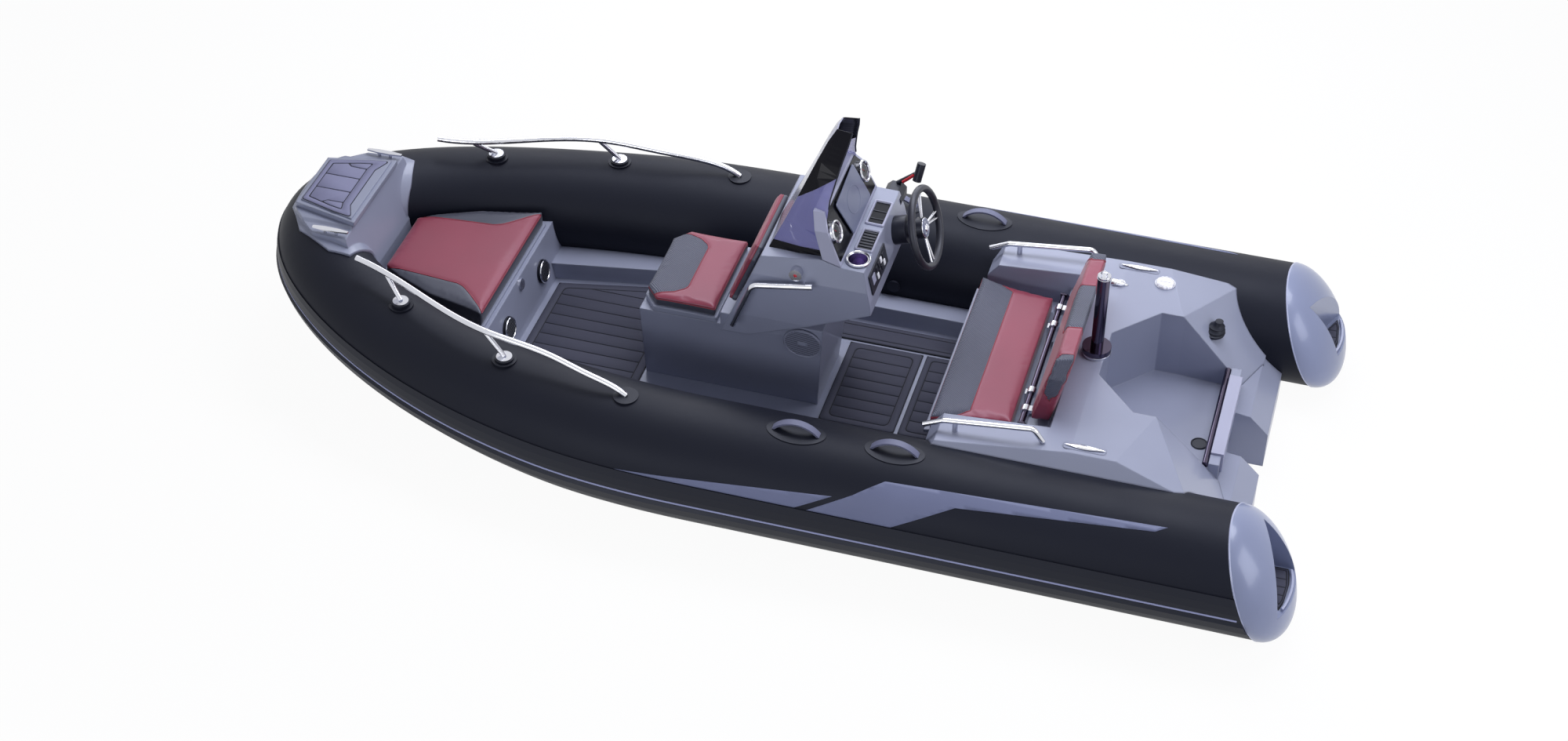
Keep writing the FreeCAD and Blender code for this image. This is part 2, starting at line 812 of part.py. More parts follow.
# Console: a tapered base under a wider upper body, with the front seat built on its nose.
base_side = side_prism("console_base_side", [
    ("dim.console_aft", "dim.floor_height"),
    ("dim.console_aft - 40", "dim.seat_base_top + 60"),
    ("dim.seat_aft", "dim.seat_base_top + 60"),
    ("dim.seat_aft", "dim.seat_base_top"),
    ("dim.seat_front", "dim.seat_base_top"),
    ("dim.console_front + 20", "dim.floor_height"),
], "-dim.console_waist - 40", "dim.console_waist + 40")
base_cross = cross_prism("console_base_cross", [
    ("-dim.console_base_half_width", "dim.floor_height"),
    ("-dim.seat_half_width", "dim.seat_base_top"),
    ("-dim.seat_half_width", HIGH),
    ("dim.seat_half_width", HIGH),
    ("dim.seat_half_width", "dim.seat_base_top"),
    ("dim.console_base_half_width", "dim.floor_height"),
], "dim.console_aft - 60", "dim.seat_front + 30")
console_base = common("console_base_blank", base_side, base_cross)
upper_side = side_prism("console_upper_side", [
    ("75", "523"),
    ("dim.seat_aft - 15", "dim.seat_base_top"),
    ("dim.console_front_top", "dim.console_top"),
    ("dim.console_aft_top + 80", "dim.console_top + 30"),
    ("dim.console_aft_top", "dim.console_top + 10"),
    ("dim.console_aft_mid", "dim.console_top + 7"),
    ("dim.console_aft_low", "805"),
    ("dim.console_aft_low - 5", "755"),
], "-dim.console_upper_half_width", "dim.console_upper_half_width")
upper_cross = cross_prism("console_upper_cross", [
    ("-dim.console_upper_half_width + 25", "dim.seat_base_top - 40"),
    ("-dim.console_upper_half_width", "dim.seat_base_top + 120"),
    ("-dim.console_upper_half_width", "860"),
    ("-dim.console_upper_top_half_width", "dim.console_top + 60"),
    ("dim.console_upper_top_half_width", "dim.console_top + 60"),
    ("dim.console_upper_half_width", "860"),
    ("dim.console_upper_half_width", "dim.seat_base_top + 120"),
    ("dim.console_upper_half_width - 25", "dim.seat_base_top - 40"),
], "dim.console_aft_low - 50", "dim.seat_aft + 50")
console_upper = common("console_upper_blank", upper_side, upper_cross)
seat_store = box("seat_store", ("dim.seat_aft + 40", "dim.seat_front - 40"), ("-170", "170"),
                 ("dim.floor_height + 60", "dim.seat_base_top + 1"))
seat_store_low = common("seat_store_taper", seat_store, cross_prism("seat_store_cross", [
    ("-dim.console_base_half_width + 25", "dim.floor_height"),
    ("-dim.seat_half_width + 25", "dim.seat_base_top + 2"),
    ("dim.seat_half_width - 25", "dim.seat_base_top + 2"),
    ("dim.console_base_half_width - 25", "dim.floor_height"),
], "dim.seat_aft", "dim.seat_front"))
cup_hole = cylinder("cup_hole", ("dim.cup_x", "dim.cup_y", "dim.console_top - dim.cup_depth - 2"),
                    "dim.cup_radius + 0.2", "300")
node(cut("console_cut", fuse("console_whole", console_base, console_upper), seat_store_low, cup_hole),
     "console_shell")

# Dashboard: a gloss fascia that stands between the windshield and the helm.
dash_side = side_prism("dash_side", [
    ("dim.dash_foot", "dim.console_top + 12"),
    ("dim.dash_head", "dim.dash_head_height"),
    ("dim.dash_head + 45", "dim.dash_head_height"),
    ("dim.dash_foot + 75", "dim.console_top + 31"),
], "-dim.dash_low_half_width", "dim.dash_low_half_width")
dash_cross = cross_prism("dash_cross", [
    ("-dim.dash_low_half_width", "dim.console_top"),
    ("-dim.dash_half_width", "dim.dash_head_height - 60"),
    ("-dim.dash_half_width + 45", "dim.dash_head_height"),
    ("dim.dash_half_width - 45", "dim.dash_head_height"),
    ("dim.dash_half_width", "dim.dash_head_height - 60"),
    ("dim.dash_low_half_width", "dim.console_top"),
], "dim.dash_foot - 100", "dim.dash_head + 200")
node(common("dashboard_common", dash_side, dash_cross), "dashboard")

# Bow step locker: a faceted moulding over the bow tube, with a foot flange that follows the tube.
step_side = side_prism("step_side", [
    ("dim.step_aft", "dim.bow_seat_top"),
    ("dim.step_aft", "dim.bow_seat_top + 60"),
    ("dim.step_aft_top", "dim.step_top"),
    ("dim.step_front_top", "dim.step_top"),
    ("dim.step_front", "dim.step_top - 50"),
    ("dim.step_front", "dim.bow_seat_top"),
], "-dim.step_half_width", "dim.step_half_width")
step_plan = plan_prism("step_plan", both_sides([
    ("dim.step_aft", "dim.step_half_width - 90"),
    ("dim.step_aft_top - 20", "dim.step_half_width - 12"),
    ("dim.step_front - 150", "dim.step_half_width - 30"),
    ("dim.step_front - 60", "dim.step_half_width * 0.66"),
    ("dim.step_front", "dim.step_half_width * 0.45"),
]), "dim.bow_seat_top", HIGH)
step_cross = cross_prism("step_cross", [
    ("-dim.step_half_width", "dim.bow_seat_top"),
    ("-dim.step_half_width + 4", "dim.step_shoulder - 40"),
    ("-dim.step_half_width + 20", "dim.step_shoulder"),
    ("-dim.step_top_half_width - 12", "dim.step_shoulder + 3"),
    ("-dim.step_top_half_width", "dim.step_top"),
    ("dim.step_top_half_width", "dim.step_top"),
    ("dim.step_top_half_width + 12", "dim.step_shoulder + 3"),
    ("dim.step_half_width - 20", "dim.step_shoulder"),
    ("dim.step_half_width - 4", "dim.step_shoulder - 40"),
    ("dim.step_half_width", "dim.bow_seat_top"),
], "dim.step_aft - 20", "dim.step_front + 20")
step_blank = common("step_blank", step_side, step_plan, step_cross)
step_hollow = plan_prism("step_hollow", both_sides([
    ("dim.step_aft_top + 40", "dim.step_top_half_width - 60"),
    ("dim.step_front_top - 50", "dim.step_top_half_width - 90"),
]), "dim.step_top - 75", HIGH)
flange_plan = plan_prism("step_flange_plan", both_sides([
    ("dim.step_aft + 4", "dim.step_half_width - 82"),
    ("dim.step_aft + 28", "dim.step_half_width + 22"),
    ("dim.step_aft + 120", "dim.step_half_width + 28"),
    ("dim.step_front - 76", "dim.step_half_width - 60"),
    ("dim.step_front - 20", "dim.step_half_width * 0.55"),
    ("dim.step_front + 16", "dim.step_half_width * 0.4"),
]), "dim.bow_seat_top + 80", HIGH)
flange_skin = computed("flange_skin", tube_solid(val("dim.step_flange")))
step_flange = common("step_flange", flange_skin, flange_plan)
node(cut("step_cut", fuse("step_whole", step_blank, step_flange), step_hollow, tube_clear), "bow_step_locker")

# Step lid: hinged along its front edge, with a foam tread bonded on top.
step_lid = plan_prism("step_lid", both_sides([
    ("dim.step_aft_top - 12", "dim.step_top_half_width + 4"),
    ("dim.step_aft_top + 60", "dim.step_top_half_width - 12"),
    ("dim.step_front_top", "dim.step_top_half_width - 60"),
]), "dim.step_top + dim.step_lid_gap", "dim.step_top + dim.step_lid_thick")
node(step_lid, "bow_step_lid")
step_tread = plan_prism("step_tread", both_sides([
    ("dim.step_aft_top + 6", "dim.step_top_half_width - 14"),
    ("dim.step_aft_top + 62", "dim.step_top_half_width - 28"),
    ("dim.step_front_top - 18", "dim.step_top_half_width - 78"),
]), "dim.step_top + dim.step_lid_thick", "dim.step_top + dim.step_lid_thick + dim.pad_thick")
node(step_tread, "bow_step_pad")

# Bow cleats: flat tapered bars on two posts each, standing on the locker's shoulders.
cleat_x = "(dim.step_aft_top + 70)"
cleat_y = "(dim.step_half_width - 38)"
cleat_top = "(dim.step_shoulder + 27)"
cleat_bar = plan_prism("bow_cleat_bar", [
    (cleat_x + " - dim.cleat_length / 2", cleat_y + " - dim.cleat_half_width / 2"),
    (cleat_x + " - dim.cleat_length / 2", cleat_y + " + dim.cleat_half_width / 2"),
    (cleat_x + " - dim.cleat_length / 5", cleat_y + " + dim.cleat_half_width"),
    (cleat_x + " + dim.cleat_length / 5", cleat_y + " + dim.cleat_half_width"),
    (cleat_x + " + dim.cleat_length / 2", cleat_y + " + dim.cleat_half_width / 2"),
    (cleat_x + " + dim.cleat_length / 2", cleat_y + " - dim.cleat_half_width / 2"),
    (cleat_x + " + dim.cleat_length / 5", cleat_y + " - dim.cleat_half_width"),
    (cleat_x + " - dim.cleat_length / 5", cleat_y + " - dim.cleat_half_width"),
], cleat_top + " - dim.cleat_thick", cleat_top)
post_a = cylinder("bow_cleat_post_a", (cleat_x + " - 25", cleat_y, "dim.step_shoulder - 2"), "dim.cleat_post_radius",
                  cleat_top + " - dim.step_shoulder")
post_b = cylinder("bow_cleat_post_b", (cleat_x + " + 25", cleat_y, "dim.step_shoulder - 2"), "dim.cleat_post_radius",
                  cleat_top + " - dim.step_shoulder")
bow_cleat = cut("bow_cleat_cut", fuse("bow_cleat", cleat_bar, post_a, post_b), nodes["bow_step_locker"])
node(pair("bow_cleat_pair", bow_cleat), "bow_cleats")

# Bow rails: one long bent tube a side, on two raked posts and a turned-down aft end.


def smooth_rod(points, radius):
    curve = Part.BSplineCurve()
    curve.interpolate(Points=points)
    path = Part.Wire([curve.toShape()])
    ring = Part.Wire(Part.Circle(points[0], curve.tangent(curve.FirstParameter)[0], radius).toShape())
    return path.makePipeShell([ring], True, False)


rail_line = [Vec(1692, 430, 666), Vec(1551, 468, 652), Vec(1300, 578, 640), Vec(1046, 667, 628), Vec(765, 700, 600),
             Vec(588, 733, 568), Vec(480, 743, 538), Vec(431, 745, 509)]
rail_feet = [(Vec(1468, 524, 571), Vec(1545, 470, 645)), (Vec(960, 686, 533), Vec(1040, 669, 622))]


def bow_rail():
    pieces = [bar(foot, top, val("dim.rail_post_radius")) for foot, top in rail_feet]
    caps = [Part.makeCylinder(val("dim.base_cap_radius"), 5, foot - Vec(0, 0, 5)) for foot, top in rail_feet]
    return smooth_rod(rail_line, val("dim.rail_radius")).multiFuse(pieces + caps)


def rail_base(name, place):
    crown = axis_at(place.x).z + tube_radius(place.x)
    foot = Vec(place.x, place.y, crown - 16)
    wide = Part.makeCylinder(val("dim.base_radius"), 20, foot)
    narrow = Part.makeCylinder(val("dim.base_cap_radius") + 6, place.z - 5 - foot.z, foot)
    return computed(name, wide.cut(tube_clear.Shape).fuse(narrow.cut(tube_clear.Shape)))


rail_base_set = group("rail_base_set", rail_base("rail_base_front", rail_feet[0][0]),
                      rail_base("rail_base_middle", rail_feet[1][0]),
                      rail_base("rail_base_aft", Vec(431, 745, 514)))
node(pair("rail_bases_pair", rail_base_set), "rail_bases")
bow_rail_cut = cut("bow_rail_cut", computed("bow_rail_port", bow_rail()), rail_base_set)
node(pair("bow_rail_pair", main_solid("bow_rail_main", bow_rail_cut)), "bow_rails")

# Tube handles: moulded grips on bonded oval patches along the tube's crown.
handle_places = [-264, -655]


patch_skin = tube_solid(val("dim.tube_gap + dim.patch_thick"))


def patch(x, y, half_length, half_width):
    crown = axis_at(x).z + tube_radius(x)
    ellipse = Part.Wire(Part.Ellipse(Vec(x, y, crown - 60), half_length, half_width).toShape())
    column = Part.Face(ellipse).extrude(Vec(0, 0, 120))
    return column.common(patch_skin).cut(tube_clear.Shape)


def handle(x, y):
    """An arched strap of even width, standing on its patch."""
    half = val("dim.handle_length") / 2
    thick = val("dim.handle_thick")
    rise = Vec(0, 0, val("dim.handle_rise"))
    foot = Vec(x, y - val("dim.handle_width") / 2, axis_at(x).z + tube_radius(x) + val("dim.tube_gap + dim.patch_thick") + 0.3)
    fore = Vec(half, 0, 0)
    step = Vec(thick * 1.6, 0, 0)
    outer = Part.Arc(foot - fore, foot + rise, foot + fore)
    inner = Part.Arc(foot + fore - step, foot + rise - Vec(0, 0, thick), foot - fore + step)
    ends = [Part.LineSegment(foot + fore, foot + fore - step), Part.LineSegment(foot - fore + step, foot - fore)]
    arch = Part.Wire([outer.toShape(), ends[0].toShape(), inner.toShape(), ends[1].toShape()])
    return Part.Face(arch).extrude(Vec(0, val("dim.handle_width"), 0))


axis_y = val("dim.tube_axis_half_width")
node(pair("tube_handle_pair", computed("tube_handle_port", Part.makeCompound(
    [handle(x, axis_y) for x in handle_places]))), "tube_handles")
node(pair("handle_patch_pair", computed("handle_patch_port", Part.makeCompound(
    [patch(x, axis_y, 118, 62) for x in handle_places]))), "handle_patches")

# Tube valves: screw-in inflation valves on the inner side of the collar.
valve = cylinder("valve_round", ("-329", "dim.tube_axis_half_width - dim.tube_dia / 2 - dim.valve_proud", "262"),
                 "dim.valve_radius", "dim.valve_proud + 30", turned(Vec(1, 0, 0), -90))
node(pair("valve_pair", cut("valve_cut", valve, tube_clear)), "tube_valves")

# Bow seat: a lid hinged at its front edge over the bow store, and its cushion.
bow_seat_outline = [
    ("dim.bow_cushion_aft + 6", "362"),
    ("1460", "300"),
    ("1640", "218"),
    ("dim.bow_cushion_front - 12", "160"),
]
bow_lid = plan_prism("bow_lid", both_sides(bow_seat_outline), "dim.bow_seat_top + 0.3",
                     "dim.bow_seat_top + dim.seat_lid_thick")
seat_room = computed("seat_room", tube_solid(9))
node(cut("bow_lid_cut", bow_lid, seat_room), "bow_seat_lid")
bow_cushion = plan_prism("bow_cushion", both_sides([
    ("dim.bow_cushion_aft", "366"),
    ("1460", "306"),
    ("1640", "226"),
    ("dim.bow_cushion_front", "176"),
]), "dim.bow_seat_top + dim.seat_lid_thick + 0.3", "dim.bow_cushion_top")
node(cut("bow_cushion_cut", bow_cushion, seat_room), "bow_seat_cushion")
face_lean = "(dim.bow_seat_face_top - dim.bow_seat_face) / (dim.bow_seat_top - dim.floor_height)"


def seat_face_x(height):
    return val("dim.bow_seat_face + (%s) * (%g - dim.floor_height)" % (face_lean, height))


def face_disc(y, z, radius, thick):
    """A disc on the bow seat's leaning aft face."""
    way = Vec(-val("dim.bow_seat_top - dim.floor_height"), 0, val("dim.bow_seat_face_top - dim.bow_seat_face"))
    way.normalize()
    return Part.makeCylinder(radius, thick, Vec(seat_face_x(z), y, z), way)


node(computed("seat_vent_discs", Part.makeCompound(
    [face_disc(y, 235, 52, 6).cut(face_disc(y, 235, 38, 6)) for y in (-200, 200)])), "seat_vents")
node(computed("seat_latch_disc", face_disc(0, 315, 24, 7)), "bow_seat_latch")

# Console seat: lid hinged at its aft edge over the console's nose, and its cushion.
console_seat_outline = both_sides([
    ("dim.seat_aft + 17", "dim.seat_half_width"),
    ("dim.seat_front - 62", "dim.seat_half_width"),
    ("dim.seat_front - 6", "dim.seat_half_width * 0.72"),
])
node(plan_prism("console_seat_board", console_seat_outline, "dim.seat_base_top + 0.3", "dim.console_lid_top"),
     "console_seat_lid")
node(plan_prism("console_seat_pad", both_sides([
    ("dim.seat_aft + 14", "dim.seat_half_width + 2"),
    ("dim.seat_front - 60", "dim.seat_half_width + 2"),
    ("dim.seat_front", "dim.seat_half_width * 0.72"),
]), "dim.console_lid_top + 0.3", "dim.seat_cushion_top"), "console_seat_cushion")


# Console backrest: a thick pad on the console's leaning front face.
def nose_x(height, off="0"):
    share = "(%s - dim.seat_base_top) / (dim.console_top - dim.seat_base_top)" % height
    return "dim.seat_aft - 15 + (dim.console_front_top - dim.seat_aft + 15) * %s + %s" % (share, off)


back_side = side_prism("console_back_side", [
    (nose_x("624", "0.4"), "624"),
    (nose_x("908", "0.4"), "908"),
    (nose_x("908", "dim.back_pad_thick"), "918"),
    (nose_x("624", "dim.back_pad_thick"), "636"),
], "-dim.seat_half_width", "dim.seat_half_width")
back_cross = cross_prism("console_back_cross", [
    ("-dim.seat_half_width + 4", "600"),
    ("-dim.seat_half_width + 22", "860"),
    ("-dim.seat_half_width + 60", "930"),
    ("dim.seat_half_width - 60", "930"),
    ("dim.seat_half_width - 22", "860"),
    ("dim.seat_half_width - 4", "600"),
], "0", "400")
node(common("console_back_common", back_side, back_cross), "console_backrest_pad")

# Instruments: two round gauges and a flat display on the dashboard's aft face.
dash_slope = Vec(val("dim.dash_head - dim.dash_foot"), 0, val("dim.dash_head_height - dim.console_top - 12")).normalize()
dash_out = Vec(-dash_slope.z, 0, dash_slope.x)


def on_dash(y, height, off):
    foot = Vec(val("dim.dash_foot"), y, val("dim.console_top + 12"))
    return foot + dash_slope * ((height - foot.z) / dash_slope.z) + dash_out * off


def gauge(y):
    outer = Part.makeCylinder(val("dim.gauge_radius"), val("dim.gauge_proud"), on_dash(y, 1064, 0), dash_out)
    return outer.cut(Part.makeCylinder(val("dim.gauge_radius") - 8, 8, on_dash(y, 1064, 7), dash_out))


node(computed("gauge_pair", Part.makeCompound([gauge(val("dim.gauge_y")), gauge(-val("dim.gauge_y"))])), "gauges")


def display():
    middle = val("dim.display_middle")
    half = val("dim.display_half_width")
    corners = [on_dash(middle - half - 8, 975, 0), on_dash(middle + half - 22, 975, 0), on_dash(middle + half, 1128, 0),
               on_dash(middle - half + 8, 1128, 0)]
    face = Part.Face(Part.makePolygon(corners + corners[:1]))
    return face.extrude(dash_out * val("dim.display_proud"))


node(computed("display_plate", display()), "display_panel")

# Cup holder: a polished flanged cup let into the console's top.
cup_lip = cylinder("cup_lip", ("dim.cup_x", "dim.cup_y", "dim.console_top + 12"), "dim.cup_radius + 9", "4")
cup_body = cylinder("cup_body", ("dim.cup_x", "dim.cup_y", "dim.console_top - dim.cup_depth"), "dim.cup_radius",
                    "dim.cup_depth + 14")
cup_void = cylinder("cup_void", ("dim.cup_x", "dim.cup_y", "dim.console_top - dim.cup_depth + 3"),
                    "dim.cup_radius - 3", "200")
node(cut("cup_cut", fuse("cup_whole", cup_lip, cup_body), cup_void), "cup_holder")


# Switch panel: a dark plate on the console's aft face, under the helm shelf.
def aft_face_x(height, off="0"):
    share = "(dim.console_top + 7 - %s) / (dim.console_top + 7 - 805)" % height
    return "dim.console_aft_mid + (dim.console_aft_low - dim.console_aft_mid) * %s - %s" % (share, off)


node(side_prism("switch_plate", [
    (aft_face_x("905"), "905"),
    (aft_face_x("905", "6"), "905"),
    (aft_face_x("820", "6"), "820"),
    (aft_face_x("820"), "820"),
], "20", "245"), "switch_panel")

# Windshield: a tinted acrylic shell, bent round the front and folded back along both sides to a narrow peak.
# Each row gives a height and, from the middle to port, the front, the corner, the crease and the aft edge.
SHIELD_ROWS = [
    (925, (26, 0), (11, 215), (-120, 243), (-262, 270)),
    (1060, (-40, 0), (-49, 178), (-138, 212), (-222, 236)),
    (1195, (-100, 0), (-107, 138), (-155, 160), (-208, 196)),
    (1310, (-150, 0), (-155, 98), (-174, 110), (-224, 130)),
    (1382, (-184, 0), (-188, 64), (-199, 71), (-246, 90)),
    (1434, (-212, 0), (-216, 38), (-225, 42), (-276, 58)),
]


def shield_ring(height, *port):
    """A closed outline of the shell at one height, its inner side one thickness inside the outer."""
    outer = [Vec(x, y, height) for x, y in reversed(port)] + [Vec(x, -y, height) for x, y in port[1:]]
    inner = []
    for i, point in enumerate(outer):
        run = outer[min(i + 1, len(outer) - 1)] - outer[max(i - 1, 0)]
        inner.append(point + Vec(run.y, -run.x, 0).normalize() * val("dim.shield_thick"))
    return Part.makePolygon(outer + inner[::-1] + outer[:1])


shield = computed("windshield_shell", Part.makeLoft([shield_ring(*row) for row in SHIELD_ROWS], True, False))
node(main_solid("windshield_main", cut("windshield_cut", shield, upper_side, dash_side)), "windshield")
grab_line = [Vec(-105, 190, 945), Vec(-60, 150, 1005), Vec(-60, -150, 1005), Vec(-105, -190, 945)]
node(cut("grab_cut", computed("grab_rod", rod(grab_line, 8, 20)), upper_side), "windshield_rail")

# Console side rails: bent tubes on stand-offs along each side of the console.
side_rail_line = [Vec(128, 320, 600), Vec(44, 320, 821), Vec(-201, 320, 867)]


def side_rail():
    feet = [bar(place - Vec(0, 42, 0), place, 8) for place in (Vec(-160, 320, 859), Vec(59, 320, 782), Vec(113, 320, 640))]
    return rod(side_rail_line, 12, 45).multiFuse(feet)


node(pair("side_rail_pair", cut("side_rail_cut", computed("side_rail_port", side_rail()), nodes["console_shell"])),
     "console_rails")
nav_light = cylinder("nav_light", ("-128", "dim.console_upper_half_width - 12", "900"), "dim.nav_light_radius", "30",
                     turned(Vec(1, 0, 0), -90))
node(pair("nav_light_pair", cut("nav_light_cut", nav_light, nodes["console_shell"])), "nav_lights")

# Helm: a boss on the console's aft face, a three-spoke wheel and its leather grip.
wheel_middle = Vec(val("dim.wheel_x"), val("dim.wheel_y"), val("dim.wheel_z"))
wheel_tilt = math.radians(val("dim.wheel_tilt"))
wheel_axis = Vec(-math.cos(wheel_tilt), 0, math.sin(wheel_tilt))
wheel_up = Vec(math.sin(wheel_tilt), 0, math.cos(wheel_tilt))
rim = doc.addObject("Part::Torus", "wheel_rim")
rim.setExpression("Radius1", "dim.wheel_radius")
rim.setExpression("Radius2", "dim.grip_radius")
rim.Placement.Rotation = FreeCAD.Rotation(Vec(0, 0, 1), wheel_axis)
rim.setExpression("Placement.Base.x", "dim.wheel_x")
rim.setExpression("Placement.Base.y", "dim.wheel_y")
rim.setExpression("Placement.Base.z", "dim.wheel_z")
node(rim, "wheel_rim")


def wheel_spokes():
    pieces = []
    hub = wheel_middle - wheel_axis * 14
    for angle in (76, -14, -104):
        for side in (-8, 8):
            turn = math.radians(angle + side * 0.7)
            way = wheel_up * math.sin(turn) - Vec(0, 1, 0) * math.cos(turn)
            pieces.append(bar(hub, wheel_middle + way * val("dim.wheel_radius"), val("dim.spoke_radius")))
    return pieces[0].multiFuse(pieces[1:])


hub_foot = wheel_middle - wheel_axis * (val("dim.hub_depth") + 4)
wheel_hub = computed("wheel_hub", Part.makeCylinder(val("dim.hub_radius"), val("dim.hub_depth"), hub_foot, wheel_axis))
doc.recompute()
node(wheel_hub, "wheel_hub")
node(cut("spokes_cut", computed("spokes_whole", wheel_spokes()), rim, wheel_hub), "wheel_spokes")
helm_start = wheel_middle - wheel_axis * 190
helm_boss = Part.makeCylinder(val("dim.helm_radius"), 120, helm_start, wheel_axis)
helm_neck = Part.makeCylinder(val("dim.helm_radius") * 0.6, 189.7 - val("dim.hub_depth + 4"), helm_start, wheel_axis)
node(cut("helm_cut", computed("helm_whole", helm_boss.fuse(helm_neck)), upper_side), "helm_boss")

# Throttle: a control box on the console's starboard side and its lever.
throttle_side = side_prism("throttle_side", [
    ("-325", "880"),
    ("-405", "880"),
    ("-405", "915"),
    ("-385", "935"),
    ("-345", "935"),
    ("-325", "915"),
], "dim.throttle_y - 12", "-dim.console_upper_top_half_width + 10")
node(cut("throttle_cut", throttle_side, nodes["console_shell"]), "throttle_box")


def lever():
    y = val("dim.throttle_y")
    arm = bar(Vec(-368, y, 936), Vec(-446, y, 1000), val("dim.lever_radius"))
    grip = bar(Vec(-450, y + 14, 972), Vec(-462, y - 10, 1044), val("dim.lever_grip_radius"))
    return arm.fuse(grip)


node(cut("throttle_arm_cut", computed("throttle_arm", lever()), nodes["throttle_box"]), "throttle_lever")

# Bench: a lid on the hinge bar, its cushion, and the folding backrest on the same bar.
bar_y = "dim.back_half_width + 12"
hinge_bar = cylinder("hinge_round", ("dim.hinge_x", bar_y, "dim.hinge_z"), "dim.hinge_radius", "2 * (%s)" % bar_y,
                     turned(Vec(1, 0, 0), 90))
hinge_lug = side_prism("hinge_lug", [
    ("dim.hinge_x - dim.hinge_radius - 34", "dim.side_deck_height - 60"),
    ("dim.hinge_x - dim.hinge_radius - 6", "dim.side_deck_height - 60"),
    ("dim.hinge_x + dim.hinge_radius + 2", "dim.hinge_z - dim.hinge_radius"),
    ("dim.hinge_x + dim.hinge_radius + 2", "dim.hinge_z + dim.hinge_radius + 2"),
    ("dim.hinge_x - dim.hinge_radius", "dim.hinge_z + dim.hinge_radius + 2"),
], "dim.back_half_width + 4", bar_y)
node(cut("hinge_bar_cut", fuse("hinge_bar_whole", hinge_bar, hinge_lug, mirror("hinge_lug_mirror", hinge_lug)),
         nodes["stern_module"]), "hinge_bar")


def knuckle(name, y, arm):
    """A ring that turns on the hinge bar, with its arm."""
    ring = cylinder(name + "_ring", ("dim.hinge_x", y + " + 15", "dim.hinge_z"), "dim.hinge_radius + 7", "30",
                    turned(Vec(1, 0, 0), 90))
    pin = cylinder(name + "_pin", ("dim.hinge_x", y + " + 40", "dim.hinge_z"), "dim.hinge_radius + 0.3", "80",
                   turned(Vec(1, 0, 0), 90))
    strap = side_prism(name + "_strap", arm, y + " - 15", y + " + 15")
    return cut(name, fuse(name + "_whole", ring, strap), pin)


lid_knuckle = knuckle("lid_knuckle", "210", [
    ("dim.bench_aft - 0.3", "dim.bench_base_top + 0.3"),
    ("dim.bench_aft - 0.3", "dim.hinge_z"),
    ("dim.hinge_x + 2", "dim.hinge_z"),
    ("dim.hinge_x + 2", "dim.bench_base_top + 0.3"),
])
node(pair("lid_knuckles", lid_knuckle), "bench_hinges")
back_knuckle = knuckle("back_knuckle", "320", [
    ("dim.hinge_x", "dim.hinge_z + 13.5"),
    ("dim.back_bottom_front - 56", "dim.back_bottom_height + 26"),
    ("dim.back_bottom_front - 56", "dim.back_bottom_height + 16"),
    ("dim.hinge_x", "dim.hinge_z - 6"),
])
bench_outline = both_sides([
    ("dim.bench_aft", "dim.bench_aft_half_width"),
    ("dim.bench_split", "dim.bench_aft_half_width + 20"),
    ("dim.bench_front + 8", "dim.bench_front_half_width - 6"),
])
node(plan_prism("bench_board", bench_outline, "dim.bench_base_top + 0.3",
                "dim.bench_base_top + dim.bench_lid_thick"), "bench_lid")
node(plan_prism("bench_pad", both_sides([
    ("dim.bench_aft + 2", "dim.bench_aft_half_width"),
    ("dim.bench_split", "dim.bench_aft_half_width + 22"),
    ("dim.bench_front", "dim.bench_front_half_width"),
]), "dim.bench_base_top + dim.bench_lid_thick + 0.3", "dim.bench_top"), "bench_cushion")
back_shape = side_prism("backrest_side", [
    ("dim.back_bottom_front", "dim.back_bottom_height + 20"),
    ("dim.back_bottom_front - dim.back_lean", "dim.back_bottom_height + dim.back_rise"),
    ("dim.back_bottom_front - dim.back_lean - dim.back_thick + 14",
     "dim.back_bottom_height + dim.back_rise + 10"),
    ("dim.back_bottom_front - dim.back_thick", "dim.back_bottom_height + 30"),
], "-dim.back_half_width", "dim.back_half_width")
back_cross_shape = cross_prism("backrest_cross", [
    ("-dim.back_half_width", "dim.back_bottom_height"),
    ("-dim.back_half_width", "dim.back_bottom_height + dim.back_rise - 70"),
    ("-dim.back_half_width + 60", "dim.back_bottom_height + dim.back_rise + 20"),
    ("dim.back_half_width - 60", "dim.back_bottom_height + dim.back_rise + 20"),
    ("dim.back_half_width", "dim.back_bottom_height + dim.back_rise - 70"),
    ("dim.back_half_width", "dim.back_bottom_height"),
], "-1400", "-1000")
backrest = node(common("backrest_common", back_shape, back_cross_shape), "backrest_cushion")
node(pair("back_knuckles", cut("back_knuckle_trim", back_knuckle, backrest)), "backrest_hinges")

# Stern fittings: handrails, cleats, filler, breather, mast and rigging boot.


def stern_rail():
    y = val("dim.stern_rail_y")
    line = [Vec(-722, y, 506), Vec(-800, y, 545), Vec(-1150, y, 590), Vec(-1188, y, 536)]
    foot = bar(Vec(-846, y, 500), Vec(-846, y, 552), val("dim.stern_rail_radius"))
    return rod(line, val("dim.stern_rail_radius"), 25).fuse(foot)


